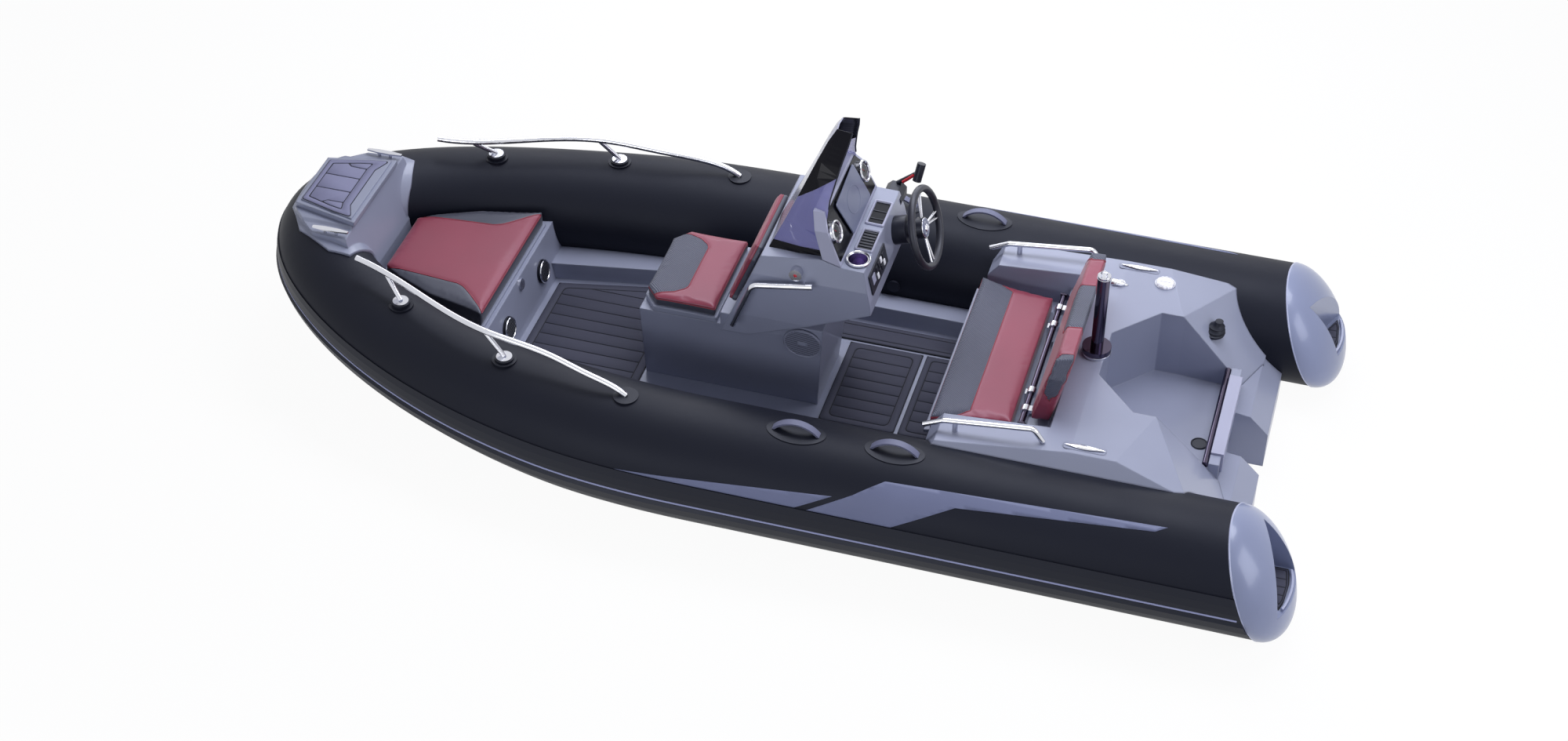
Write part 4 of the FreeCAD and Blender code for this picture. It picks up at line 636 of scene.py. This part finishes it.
def backrest_cover(p):
    end = between(p.z, [(0.48, 0.392), (0.6, 0.386), (0.7, 0.36), (0.76, 0.3)])
    middle = between(p.z, [(0.69, 0.09), (0.71, 0.125), (0.73, 0.135)])
    return "ribbed" if abs(p.y) > end or (p.z > 0.69 and abs(p.y) < middle) else "red"


def pad_cover(p):
    return "red" if (p - PAD_SEAM).dot(PAD_FRONT) > 0 else "dark"


def mirrored_cuts(table):
    """Upright cutting planes through a table of (x, y) rows on both sides."""
    cuts = []
    for (x_a, y_a), (x_b, y_b) in zip(table, table[1:]):
        for side in (1, -1):
            cuts.append(((x_a, side * y_a, 0), (y_b - y_a, -side * (x_b - x_a), 0)))
    return cuts


CUSHIONS = [  # name, node, body, fill, cover and the planes along which the cover changes
    ("bow_cushion", "bow_seat_cushion", "bow_seat", 0.5, bow_cover,
     [((0, 0, 0.42), (0, 0, 1))] + mirrored_cuts(BOW_BAND)),
    ("seat_cushion", "console_seat_cushion", "console_seat", 0.6, seat_cover,
     [((0, 0, 0.575), (0, 0, 1)), ((0.373, 0, 0), (1, 0, 0))] + mirrored_cuts(SEAT_BAND)),
    ("bench_seat_cushion", "bench_cushion", "bench", 0.6, bench_cover,
     [((0, 0, 0.436), (0, 0, 1)), ((-0.865, 0, 0), (1, 0, 0))] + mirrored_cuts(BENCH_BAND)),
    ("bench_back_cushion", "backrest_cushion", "backrest", 0.7, backrest_cover,
     [((0, 0, 0.69), (0, 0, 1)), ((0, 0.135, 0), (0, 1, 0)), ((0, -0.135, 0), (0, 1, 0))]),
    ("console_pad", "console_backrest_pad", "boat", 0.7, pad_cover, [(PAD_SEAM, PAD_FRONT)]),
]


def shaped(piece):
    """The piece's mesh with its modifiers applied."""
    graph = bpy.context.evaluated_depsgraph_get()
    return bpy.data.meshes.new_from_object(piece.evaluated_get(graph))


def corner_array(data):
    places = np.empty(len(data.vertices) * 3)
    data.vertices.foreach_get("co", places)
    return places.reshape(-1, 3)


foams = []
for name, node, body, fill, cover, cuts in CUSHIONS:
    data = nodes[node].data.copy()
    low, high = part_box(node)
    middle = (low + high) / 2
    scale = [1 - 2 * START_INSET / (high[i] - low[i]) for i in range(3)]
    data.transform(Matrix.Translation(middle) @ Matrix.Diagonal((*scale, 1)) @ Matrix.Translation(-middle))
    foam = in_scene(name, data)
    even = foam.modifiers.new("even", "REMESH")
    even.mode = "VOXEL"
    even.voxel_size = VOXEL
    foam.data = shaped(foam)
    foam.modifiers.clear()
    foams.append((foam, corner_array(foam.data)))
    swell = foam.modifiers.new("swell", "CLOTH")
    swell.settings.use_pressure = True
    swell.settings.uniform_pressure_force = 4
    swell.settings.effector_weights.gravity = 0
    swell.settings.tension_stiffness = 20
    swell.settings.bending_stiffness = 2
    swell.point_cache.frame_end = SWELL_FRAMES
for step in range(1, SWELL_FRAMES + 1):
    scene.frame_set(step)
cover_names = sorted(COVERS)
for (foam, rest), (name, node, body, fill, cover, cuts) in zip(foams, CUSHIONS):
    foam.data = shaped(foam)
    foam.modifiers.clear()
    now = corner_array(foam.data)
    move = now - rest
    far = np.linalg.norm(move, axis=1, keepdims=True) + 1e-9
    now = rest + move / far * SWELL * np.tanh(far / SWELL)
    low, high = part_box(node)
    if node == "console_backrest_pad":
        back = (now - PAD_BACK) @ np.array(PAD_FRONT)
        now += np.outer(np.maximum(0, CLEARANCE - back), np.array(PAD_FRONT))
    elif node != "backrest_cushion":
        now[:, 2] = np.maximum(now[:, 2], low.z + CLEARANCE)
        flat = low.z + CLEARANCE + np.maximum(0, now[:, 2] - low.z - FLAT_DEPTH) * RISE_SLOPE
        now[:, 2] = np.where(now[:, 2] < low.z + RISE_DEPTH, np.minimum(now[:, 2], flat), now[:, 2])
    foam.data.vertices.foreach_set("co", now.ravel())
    foam.data.materials.clear()
    for cover_name in cover_names:
        foam.data.materials.append(COVERS[cover_name])
    shape = bmesh.new()
    shape.from_mesh(foam.data)
    for point, normal in cuts:
        cut_along(shape, point, Vector(normal).normalized(), 0.0002)
    for face in shape.faces:
        face.material_index = cover_names.index(cover(face.calc_center_median()))
        face.smooth = True
    seams = [edge for edge in shape.edges if len({face.material_index for face in edge.link_faces}) == 2]
    shape.normal_update()
    seam_points = {vert for edge in seams for vert in edge.verts}
    tree = KDTree(max(1, len(seam_points)))
    for i, vert in enumerate(seam_points):
        tree.insert(vert.co, i)
    tree.balance()
    sunk = [(vert, tree.find(vert.co)[2]) for vert in shape.verts]
    for vert, gap in sunk:
        if gap is not None and gap < SEAM_REACH:
            vert.co -= vert.normal * SEAM_DEPTH * math.exp(-(gap / SEAM_WIDTH) ** 2)
    welts = bmesh.new()
    made = {}
    for edge in seams:
        ends = []
        for vert in edge.verts:
            if vert not in made:
                made[vert] = welts.verts.new(vert.co + vert.normal * CLEARANCE)
            ends.append(made[vert])
        welts.edges.new(ends)
    shape.to_mesh(foam.data)
    shape.free()
    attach(foam, body)
    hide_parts(node)
    welt_data = bpy.data.meshes.new(name + "_welt")
    welts.to_mesh(welt_data)
    welts.free()
    welt_line = in_scene(name + "_welt", welt_data)
    bpy.context.view_layer.objects.active = welt_line
    for other in bpy.context.selected_objects:
        other.select_set(False)
    welt_line.select_set(True)
    bpy.ops.object.convert(target="CURVE")
    welt_line.data.bevel_depth = WELT_RADIUS
    welt_line.data.bevel_resolution = 2
    welt_line.data.materials.append(welt_red)
    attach(welt_line, body)


# Stainless fittings: rails, cleats, hinges and rings of bent and welded tube and cast plates, mirror
# polished, with faint rub marks. The masts and bars aft are dark chromed, and the handles, vents and
# boxes beside them are moulded of rubber and black plastic.
steel = finish("steel", (0.62, 0.63, 0.69), 0.16, grain=0.05, grain_size=40, shade=0.02, metal=1)
coat_nodes(steel, "bow_rails", "bow_cleats", "console_rails", "bench_handrails", "wheel_spokes",
           "backrest_hinges", "bow_seat_latch", "windshield_rail", "nav_lights", "bench_hinges",
           "cup_holder", "gauges")
dark_chrome = finish("dark_chrome", (0.1, 0.085, 0.13), 0.12, grain=0.05, grain_size=40, metal=1)
coat_nodes(dark_chrome, "ski_mast", "well_bar", "hinge_bar")
coat_nodes(black_rubber, "handle_patches", "rail_bases")
handle_rubber = finish("handle_rubber", srgb(100, 103, 128), 0.5, grain=0.3, grain_size=500,
                       round_edge=0.003)
coat_nodes(handle_rubber, "tube_handles")
black_plastic = finish("black_plastic", srgb(15, 16, 27), 0.38, grain=0.2, grain_size=400, round_edge=0.002)
coat_nodes(black_plastic, "seat_vents", "switch_panel", "helm_boss", "throttle_box", "well_drain",
           "throttle_lever", "wheel_hub")


# Windshield: one sheet of blue-violet acrylic, folded back along both sides to a narrow peak. It is
# bonded to the console over a dark foot band, and its folded sides are painted black near the top
# and have a rubber lip along the upper part of each aft edge.
SCREEN_ROWS = [  # height, then x and y of the middle, the front's corner, the fold and the aft edge
    (0.938, (0.019, 0), (0.006, 0.211), (-0.122, 0.239), (-0.258, 0.25)),
    (1.06, (-0.04, 0), (-0.049, 0.178), (-0.138, 0.212), (-0.224, 0.236)),
    (1.195, (-0.1, 0), (-0.107, 0.138), (-0.155, 0.16), (-0.228, 0.184)),
    (1.31, (-0.15, 0), (-0.155, 0.098), (-0.174, 0.11), (-0.25, 0.122)),
    (1.382, (-0.184, 0), (-0.188, 0.064), (-0.199, 0.071), (-0.268, 0.078)),
    (1.428, (-0.212, 0), (-0.216, 0.038), (-0.225, 0.042), (-0.276, 0.05)),
]
STEPS_A_ROW = 4
CORNERS_ACROSS = 7
FRONT_FACES = (2, 3)  # of the six faces across the sheet
LIP_START = 7  # the row at which the rubber lip starts
FOOT_LINE = (Vector((0.09, 0, 1)), 0.973)
PAINT_LINE = (Vector((0.75, 0, 1)), 1.09)
# Material slots: the clear tint, the paler tint of the two front faces that is a painted reflection, and
# black.
CLEAR, PAINTED_REFLECTION, DARK = range(3)


def acrylic(name, colour, cover, rough, shine):
    """Tinted acrylic: cover is how much of what is behind it the tint hides."""
    material, tree, surface = blank_material(name)
    for socket, value in (("Base Color", (*colour, 1)), ("Roughness", rough), ("Alpha", cover),
                          ("Specular IOR Level", shine)):
        surface.inputs[socket].default_value = value
    bump = add_bump(tree, "ShaderNodeTexNoise", 60, 0.04, 0.0005)[1]
    tree.links.new(bump.outputs["Normal"], surface.inputs["Normal"])
    return material


screen_rows = []
for low, high in zip(SCREEN_ROWS, SCREEN_ROWS[1:]):
    for step in range(STEPS_A_ROW):
        share = step / STEPS_A_ROW
        height = low[0] * (1 - share) + high[0] * share
        screen_rows.append([(Vector(a) * (1 - share) + Vector(b) * share, height)
                            for a, b in zip(low[1:], high[1:])])
screen_rows.append([(Vector(a), SCREEN_ROWS[-1][0]) for a in SCREEN_ROWS[-1][1:]])
screen_corners = []
for row in screen_rows:
    screen_corners += [Vector((spot.x, spot.y, height)) for spot, height in reversed(row)]
    screen_corners += [Vector((spot.x, -spot.y, height)) for spot, height in row[1:]]
screen = add_piece("windshield_sheet", screen_corners, joined(len(screen_rows), CORNERS_ACROSS, around=False),
                   acrylic("screen_clear", srgb(142, 142, 210), 0.5, 0.06, 0.6), "tinted_screen")
# The two front faces get a paler, more opaque tint of the same acrylic: a painted reflection of the glancing
# light on them.
screen.data.materials.append(acrylic("screen_front_painted_reflection", srgb(182, 184, 206), 0.78, 0.12, 0.5))
screen.data.materials.append(acrylic("screen_dark", srgb(8, 8, 20), 1, 0.15, 0.12))
for face in screen.data.polygons:
    # The two front faces take the painted reflection; the rest of the sheet starts as clear tint.
    face.material_index = PAINTED_REFLECTION if face.index % (CORNERS_ACROSS - 1) in FRONT_FACES else CLEAR
shape = bmesh.new()
shape.from_mesh(screen.data)
for way, limit in (FOOT_LINE, PAINT_LINE):
    cut_along(shape, way * limit / way.length_squared, way, 1e-5)
for face in shape.faces:
    middle = face.calc_center_median()
    in_paint = face.material_index == CLEAR and middle.dot(PAINT_LINE[0]) > PAINT_LINE[1]
    if in_paint or middle.dot(FOOT_LINE[0]) < FOOT_LINE[1]:
        face.material_index = DARK
    face.smooth = False
shape.to_mesh(screen.data)
shape.free()
screen_wall = screen.modifiers.new("wall", "SOLIDIFY")
screen_wall.thickness = 0.005
screen_wall.offset = 0
screen_edge = screen.modifiers.new("edge", "BEVEL")
screen_edge.width = 0.0015
screen_edge.segments = 2
screen_edge.limit_method = "ANGLE"
screen_edge.angle_limit = math.radians(30)
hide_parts("windshield")
for side, label in SIDES:
    lip = [Vector((row[3][0].x - 0.001, side * row[3][0].y, row[3][1])) for row in screen_rows[LIP_START:]]
    add_piece("screen_trim_" + label, *sweep(lip, 0.0032, 8), black_rubber, "black_rubber")


# Dashboard: a satin silver moulding screwed to the console, with a gloss black panel let into its aft
# face, two round gauges in polished bezels and a blank snap-on cover over the flat display.
trim_silver = finish("trim_silver", srgb(158, 160, 184), 0.3, grain=0.1, shade=0.04, coat=0.3,
                     round_edge=0.004)
coat_nodes(trim_silver, "dashboard", "outboard_pad")
gloss_panel = finish("gloss_panel", srgb(9, 10, 18), 0.2, grain=0.05, relief=0.0001, shine=0.3)
coat_nodes(gloss_panel, "display_panel")
dial_black = finish("dial_black", srgb(14, 14, 20), 0.3, grain=0.1, relief=0.0001)
dial_white = finish("dial_white", srgb(226, 228, 236), 0.5, grain=0.1, relief=0.0001, shade=0.03)
signal_red = finish("signal_red", srgb(196, 34, 44), 0.35, grain=0.1, relief=0.0001)
cover_satin = finish("cover_satin", srgb(98, 104, 130), 0.32, grain=0.3, grain_size=500, coat=0.2)
DASH_LINE = [(-0.27, 0.004), (0.27, 0.004), (0.252, 0.152), (0.207, 0.216), (-0.207, 0.216),
             (-0.252, 0.152)]
COVER_LINE = [(-0.12, 0.187), (-0.084, 0.021), (0.172, 0.027), (0.143, 0.203)]
GAUGE_ACROSS = 0.204
GAUGE_UP = 0.1236
GAUGE_MARKS = 21


def disc(radius, middle=(0, 0), count=36, stretch=1):
    """A round or oval outline."""
    return [(middle[0] + radius * stretch * math.cos(2 * math.pi * i / count),
             middle[1] + radius * math.sin(2 * math.pi * i / count)) for i in range(count)]


def ring(name, radius, thick, lift, place, material, slot, body="boat", middle=(0, 0), stretch=1):
    """A round bar bent into a ring, set on whatever place() puts it on."""
    line = [place(u, v, lift) for u, v in disc(radius, middle, 48, stretch)]
    return add_closed(name, *sweep(line, thick, 10, True), material, slot, body)


def facing(middle, out, right):
    """Places points given as right, up and out from a middle."""
    out = Vector(out).normalized()
    right = Vector(right)
    right = (right - out * right.dot(out)).normalized()
    up = out.cross(right)
    middle = Vector(middle)
    return lambda u, v, w: middle + right * u + up * v + out * w


def bars(name, lines, low, high, place, material, slot):
    """Flat bars with sharp edges, all one piece, set on whatever place() puts them on."""
    corners = []
    faces = []
    for line in lines:
        add_rings(corners, faces, [(line, low), (line, high)], False)
    add_closed(name, [place(*point) for point in corners], faces, material, slot)


on_dash = facing((-0.3, 0, 0.95), (-0.919, 0, 0.394), (0, -1, 0))
plate("dash_face", shrunk(DASH_LINE, 0.011), -0.001, 0.0025, on_dash, gloss_panel, "gloss_panel",
      corner=0.008)
plate("display_cover", COVER_LINE, 0.008, 0.0125, on_dash, cover_satin, "gloss_panel", corner=0.012,
      edge=0.002)
ring("display_cover_lip", 0.05, 0.0012, 0.0124, on_dash, cover_satin, "gloss_panel", middle=(0.028, 0.11),
     stretch=1.35)
for side, label in ((-1, "port"), (1, "starboard")):
    middle = (side * GAUGE_ACROSS, GAUGE_UP)
    ring("gauge_bezel_" + label, 0.0405, 0.0055, 0.0145, on_dash, steel, "stainless", middle=middle)
    ring("gauge_inner_" + label, 0.0335, 0.0016, 0.0128, on_dash, dark_chrome, "stainless", middle=middle)
    plate("gauge_face_" + label, disc(0.0375, middle), 0.0115, 0.0126, on_dash, dial_black, "instrument")
    marks = []
    middle = Vector(middle)
    for i in range(GAUGE_MARKS):
        turn = math.radians(225 - 13.5 * i)
        way = Vector((math.cos(turn), math.sin(turn)))
        across = Vector((-way.y, way.x)) * (0.0005 if i % 5 else 0.0009)
        start = middle + way * (0.0265 if i % 5 else 0.0235)
        end = middle + way * 0.0305
        marks.append([start - across, end - across, end + across, start + across])
    bars("gauge_marks_" + label, marks, 0.0124, 0.013, on_dash, dial_white, "instrument")
    tip = middle + Vector((-0.016, 0.021))
    tail = middle - Vector((-0.004, 0.005))
    half = Vector((0.0013, 0.001))
    plate("gauge_needle_" + label, [tail - half, tail + half, tip], 0.0128, 0.0136, on_dash, signal_red,
          "instrument", edge=0.0002)
    plate("gauge_pin_" + label, disc(0.004, middle, 18), 0.0126, 0.0148, on_dash, black_plastic,
          "instrument")


# Console deck: between the dashboard and the helm, a shelf tray and a ribbed holder of black
# plastic are let in, each in a satin silver frame. The cup holder beside them has a polished flange
# and a violet liner.
console_skin = BVHTree.FromObject(nodes["console_shell"], bpy.context.evaluated_depsgraph_get())


def on_console_deck(x, y, lift):
    hit = console_skin.ray_cast(Vector((x, y, 1.3)), Vector((0, 0, -1)))[0]
    return Vector((x, y, hit.z + lift))


def let_in(name, outline, width, ribs):
    """A frame lying on the console's deck with a dark floor and raised ribs across it."""
    outer = rounded(outline, 0.008)
    rings = [(outer, -0.001), (outer, 0.004)]
    for margin, radius, lift in ((0.0035, 0.006, 0.0085), (width - 0.003, 0.005, 0.0085),
                                 (width, 0.004, 0.0015)):
        rings.append((rounded(shrunk(outline, margin), radius), lift))
    corners = []
    faces = []
    add_rings(corners, faces, rings, True)
    add_closed(name + "_frame", [on_console_deck(*point) for point in corners], faces, trim_silver,
               "gloss_panel")
    plate(name + "_floor", shrunk(outline, width - 0.002), -0.0005, 0.0012, on_console_deck, gloss_panel,
          "gloss_panel", corner=0.005, edge=0.0003)
    bars(name + "_ribs", ribs, 0.0008, 0.0036, on_console_deck, black_plastic, "gloss_panel")


def level_at(x, y, z):
    """Places points on a level surface, forward, to port and up from a point."""
    return facing((x, y, z), (0, 0, 1), (1, 0, 0))


let_in("shelf_tray", oblong(-0.393, -0.186, -0.314, -0.024), 0.011,
       [oblong(-0.381, low, -0.326, low + 0.004) for low in (-0.12, -0.07)])
let_in("ribbed_holder", oblong(-0.393, 0.006, -0.318, 0.146), 0.009,
       [oblong(-0.382, 0.02 + 0.018 * i, -0.329, 0.028 + 0.018 * i) for i in range(7)])
on_cup = level_at(-0.352, 0.205, 0)
cup_low, cup_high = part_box("cup_holder")
cup_violet = finish("cup_violet", srgb(84, 48, 132), 0.3, grain=0.1, grain_size=200, relief=0.0001,
                    shade=0.2, coat=0.3)
ring("cup_flange", 0.0455, 0.004, cup_high.z + 0.001, on_cup, steel, "stainless")
plate("cup_liner", disc(0.037), cup_low.z + 0.006, cup_low.z + 0.0095, on_cup, cup_violet, "black_plastic")


# Switch box: a black plastic box screwed to the console's aft face, with two rows of rockers, a few
# of them white, and a bright blank plate beside them.
ROCKER_PITCH = 0.03
on_switches = facing((-0.428, 0.1325, 0.82), (-0.9735, 0, 0.2287), (0, -1, 0))
for row, up in enumerate((0.018, 0.05)):
    for column in range(4):
        across = -0.032 + ROCKER_PITCH * column
        colour = black_plastic if (row + column) % 3 else dial_white
        plate("rocker_%d_%d" % (row, column), oblong(across, up, across + 0.019, up + 0.024), -0.0005,
              0.0035, on_switches, colour, "black_plastic", corner=0.003, edge=0.0012)
plate("switch_plate", oblong(-0.088, 0.03, -0.052, 0.07), -0.0005, 0.002, on_switches, trim_silver,
      "stainless", corner=0.003)


# Speakers: round grilles moulded of the console's own grey, screwed into both of its sides, with
# level slots across them and a plain plate in the middle.
SLOT_PITCH = 0.0082
SLOT_FIELD = 0.0725
SLOT_HALF = 0.0013
for side, label in SIDES:
    hit, out = console_skin.ray_cast(Vector((-0.138, side * 0.6, 0.496)), Vector((0, -side, 0)))[:2]
    if out.y * side < 0:
        out = -out
    on_side = facing(hit, out, (-side, 0, 0))
    plate("speaker_grille_" + label, disc(0.082), -0.0005, 0.004, on_side, gel_coat, "moulding",
          edge=0.0015)
    ring("speaker_rim_" + label, 0.0785, 0.003, 0.004, on_side, gel_coat, "moulding")
    slots = []
    for i in range(-8, 9):
        up = i * SLOT_PITCH
        half = math.sqrt(SLOT_FIELD ** 2 - up ** 2)
        for low, high in (((-half, -0.021), (0.021, half)) if abs(up) < 0.016 else ((-half, half),)):
            slots.append(oblong(low, up - SLOT_HALF, high, up + SLOT_HALF))
    bars("speaker_slots_" + label, slots, 0.0034, 0.0043, on_side, dial_black, "moulding")
    plate("speaker_plate_" + label, oblong(-0.019, -0.013, 0.019, 0.013), 0.0035, 0.0058, on_side, gel_coat,
          "moulding", corner=0.003)


# Side lights: polished balls bolted to the console's shoulders, each with a moulded window that looks
# forward and outboard, red to port and green to starboard.
green_glass = finish("green_glass", srgb(24, 120, 60), 0.15, coat=0.5)
red_glass = finish("red_glass", srgb(190, 30, 44), 0.15, coat=0.5)
WINDOW_TURNS = 9
WINDOW_TILTS = 7
one_skin = WINDOW_TURNS * WINDOW_TILTS
last_turn = one_skin - WINDOW_TILTS
last_tilt = WINDOW_TILTS - 1
for (side, label), glass in zip(SIDES, (red_glass, green_glass)):
    middle = Vector((-0.128, side * 0.284, 0.9))
    corners = []
    for radius in (0.0262, 0.0272):
        for i in range(WINDOW_TURNS):
            turn = math.radians(-30 + 80 * i / (WINDOW_TURNS - 1))
            for k in range(WINDOW_TILTS):
                tilt = math.radians(-38 + 52 * k / (WINDOW_TILTS - 1))
                level = math.cos(tilt)
                way = Vector((math.sin(turn) * level, side * math.cos(turn) * level, math.sin(tilt)))
                corners.append(middle + radius * way)
    faces = joined(WINDOW_TURNS, WINDOW_TILTS, around=False)
    faces += joined(WINDOW_TURNS, WINDOW_TILTS, around=False, first=one_skin)
    border = [*range(0, last_turn, WINDOW_TILTS), *range(last_turn, one_skin - 1),
              *range(one_skin - 1, last_tilt, -WINDOW_TILTS), *range(last_tilt, 0, -1)]
    faces += [(a, b, b + one_skin, a + one_skin) for a, b in zip(border, border[1:] + border[:1])]
    add_closed("light_window_" + label, corners, faces, glass, "stainless")


# Steering wheel and throttle: a moulded grip in leather-like cover, twin-rod spokes, a blue-grey
# hub cap held by three screws round a polished centre, and a side lever with a red stripe.
grip_leather = finish("grip_leather", srgb(30, 30, 38), 0.42, grain=0.5, grain_size=700, relief=0.0004)
coat_nodes(grip_leather, "wheel_rim")
on_wheel = facing((-0.537, -0.14, 0.892), (-0.951057, 0, 0.309017), (0, -1, 0))
plate("hub_cap", disc(0.037), -0.0055, 0.003, on_wheel, cover_satin, "stainless", edge=0.003,
      body="steering")
plate("hub_centre", disc(0.014, (0, 0), 30, 1.2), 0.002, 0.0075, on_wheel, steel, "stainless", edge=0.003,
      body="steering")
ring("hub_ring", 0.0385, 0.0022, -0.002, on_wheel, steel, "stainless", "steering")
for i in range(3):
    turn = math.radians(90 + 120 * i)
    middle = (0.026 * math.cos(turn), 0.026 * math.sin(turn))
    plate("hub_screw_%d" % i, disc(0.003, middle, 14), 0.0025, 0.0045, on_wheel, steel, "stainless",
          edge=0.0006, body="steering")
LEVER_LINE = [(-0.392, -0.3265, 0.953), (-0.412, -0.3255, 0.972), (-0.436, -0.3255, 0.996)]
add_piece("lever_stripe", *sweep([Vector(spot) for spot in LEVER_LINE], 0.0062, 12), signal_red,
          "red_vinyl")


# Bow seat vents: round black plastic louvres pressed into the seat's front on either side of the
# latch, each with seven level slats in a polished ring.
VENT_RADIUS = 0.042
SLAT_PITCH = 0.011
SLAT_HALF = 0.0028
for side, label in SIDES:
    on_seat_front = facing((1.1535, side * 0.2005, 0.2355), (-0.987, 0, 0.161), (0, -1, 0))
    ring("vent_ring_" + label, 0.046, 0.0042, 0.0105, on_seat_front, steel, "stainless")
    for i in range(-3, 4):
        up = i * SLAT_PITCH
        half = math.sqrt(VENT_RADIUS ** 2 - up ** 2)
        slat = oblong(-half, up - SLAT_HALF, half, up + SLAT_HALF)
        plate("vent_slat_%s_%d" % (label, i + 3), slat, 0.009, 0.0135, on_seat_front, black_plastic,
              "black_plastic", edge=0.0015)


# Stern cleats: pull-up bars of polished cast steel, tapered to both ends, each lying in a shallow
# moulded plate on its quarter deck.
BAR_SIDES = 12
BAR_ROWS = 17
for side, label in SIDES:
    low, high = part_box("stern_cleats")
    on_quarter = level_at((low.x + high.x) / 2, side * (high.y - 0.02), 0.54)
    plate("cleat_bed_" + label, oblong(-0.084, -0.019, 0.084, 0.019), -0.0005, 0.0016, on_quarter, gel_coat,
          "moulding", corner=0.018, edge=0.001)
    corners = []
    for i in range(BAR_ROWS):
        t = 2 * i / (BAR_ROWS - 1) - 1
        belly = math.sqrt(max(0.02, 1 - t * t))
        half = 0.0125 * belly * (0.75 + 0.25 * math.cos(math.pi * t))
        for k in range(BAR_SIDES):
            turn = 2 * math.pi * k / BAR_SIDES
            lift = 0.0065 + 0.0048 * belly * math.sin(turn)
            corners.append(on_quarter(0.078 * t, half * math.cos(turn), lift))
    faces = joined(BAR_ROWS, BAR_SIDES)
    faces += [tuple(range(BAR_SIDES)), tuple(range(len(corners) - BAR_SIDES, len(corners)))]
    cleat_bar = add_closed("cleat_bar_" + label, corners, faces, steel, "stainless")
    if side == 1:
        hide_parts("stern_cleats")


# Deck fillings on the starboard quarter: a knurled fuel cap with a finger grip, screwed down on its
# polished ring, and a low clam vent of pressed steel over the tank's breather.
coat_nodes(steel, "fuel_filler", "tank_breather")
satin_steel = finish("satin_steel", (0.72, 0.72, 0.8), 0.34, grain=0.1, shade=0.04, metal=0.7)
CAP_RADIUS = 0.0375
CAP_LOBES = 12
fuel_low, fuel_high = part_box("fuel_filler")
on_fuel = level_at((fuel_low.x + fuel_high.x) / 2, (fuel_low.y + fuel_high.y) / 2, fuel_high.z)
cap_line = []
for i in range(120):
    turn = math.pi * i / 60
    reach = CAP_RADIUS * (1 + 0.03 * math.cos(CAP_LOBES * turn))
    cap_line.append((reach * math.cos(turn), reach * math.sin(turn)))
plate("fuel_cap", cap_line, -0.002, 0.008, on_fuel, satin_steel, "stainless", edge=0.004)
ring("fuel_ring", 0.03, 0.0016, 0.0078, on_fuel, steel, "stainless")
plate("fuel_grip", oblong(-0.022, -0.004, 0.022, 0.004), 0.0078, 0.0105, on_fuel, satin_steel, "stainless",
      corner=0.0035, edge=0.0015)
vent_low, vent_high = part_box("tank_breather")
vent_y = (vent_low.y + vent_high.y) / 2
CLAM_ROWS = 13
CLAM_ARC = 9
clam = []
for i in range(CLAM_ROWS):
    t = i / (CLAM_ROWS - 1)
    size = math.sin(math.pi * min(1, 0.08 + 0.9 * t) * 0.62)
    for k in range(CLAM_ARC):
        turn = math.pi * k / (CLAM_ARC - 1)
        clam.append(Vector((vent_low.x - 0.012 + 0.07 * t, vent_y + 0.019 * size * math.cos(turn),
                            0.5405 + 0.017 * size * math.sin(turn))))
clam_vent = add_piece("clam_vent", clam, joined(CLAM_ROWS, CLAM_ARC, around=False), steel, "stainless")
clam_vent.modifiers.new("wall", "SOLIDIFY").thickness = 0.0012


# Ski mast: a dark chromed post that stands in a polished flange on the transom deck, with a polished
# cap and collar at its top and a bent steel tow fork welded to the cap.
on_mast = level_at(-1.281, 0, 0.926)
plate("mast_cap", disc(0.0265), -0.004, 0.003, on_mast, steel, "stainless", edge=0.002)
ring("mast_collar", 0.0255, 0.0022, -0.009, on_mast, steel, "stainless")
plate("mast_flange", disc(0.0585, (0, 0), 48), -0.386, -0.372, on_mast, steel, "stainless", edge=0.004)
FORK_LINE = [(-1.292, 0.006, 0.926), (-1.291, 0.006, 0.945), (-1.281, 0.006, 0.952), (-1.271, 0.006, 0.945),
             (-1.27, 0.006, 0.926)]
add_piece("tow_fork", *sweep(smooth_line(FORK_LINE), 0.0032, 8), steel, "stainless")


# Rigging boot: a moulded bellows of black rubber, clamped over the hole in the splash well through
# which the engine's cables come, and leaning a little aft.
BOOT_ROWS = [  # radius and height of each fold
    (0.0435, 0), (0.0435, 0.008), (0.036, 0.011), (0.034, 0.015), (0.0385, 0.02), (0.03, 0.026),
    (0.028, 0.03), (0.032, 0.035), (0.023, 0.041), (0.019, 0.047), (0.017, 0.059), (0.012, 0.0595)]
BOOT_SIDES = 28
boot_low, boot_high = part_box("rigging_boot")
boot_middle = (boot_low + boot_high) / 2
boot = []
for radius, up in BOOT_ROWS:
    lean = up * 0.25
    for k in range(BOOT_SIDES):
        turn = 2 * math.pi * k / BOOT_SIDES
        boot.append(Vector((boot_middle.x + radius * math.cos(turn) - lean,
                            boot_middle.y + radius * math.sin(turn) - lean * 0.6, boot_low.z + up)))
boot_faces = joined(len(BOOT_ROWS), BOOT_SIDES)
boot_faces += [tuple(range(BOOT_SIDES)), tuple(range(len(boot) - BOOT_SIDES, len(boot)))]
boot_bellows = add_closed("boot_bellows", boot, boot_faces, black_rubber, "black_rubber")
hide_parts("rigging_boot")


# Splash well drain: a black plastic ring pressed into the well's floor round the drain's grating,
# where rain and wash run out through the transom.
ring("drain_ring", 0.03, 0.0025, 0.0005, level_at(-1.738, 0.08, 0.238), black_plastic, "black_plastic")
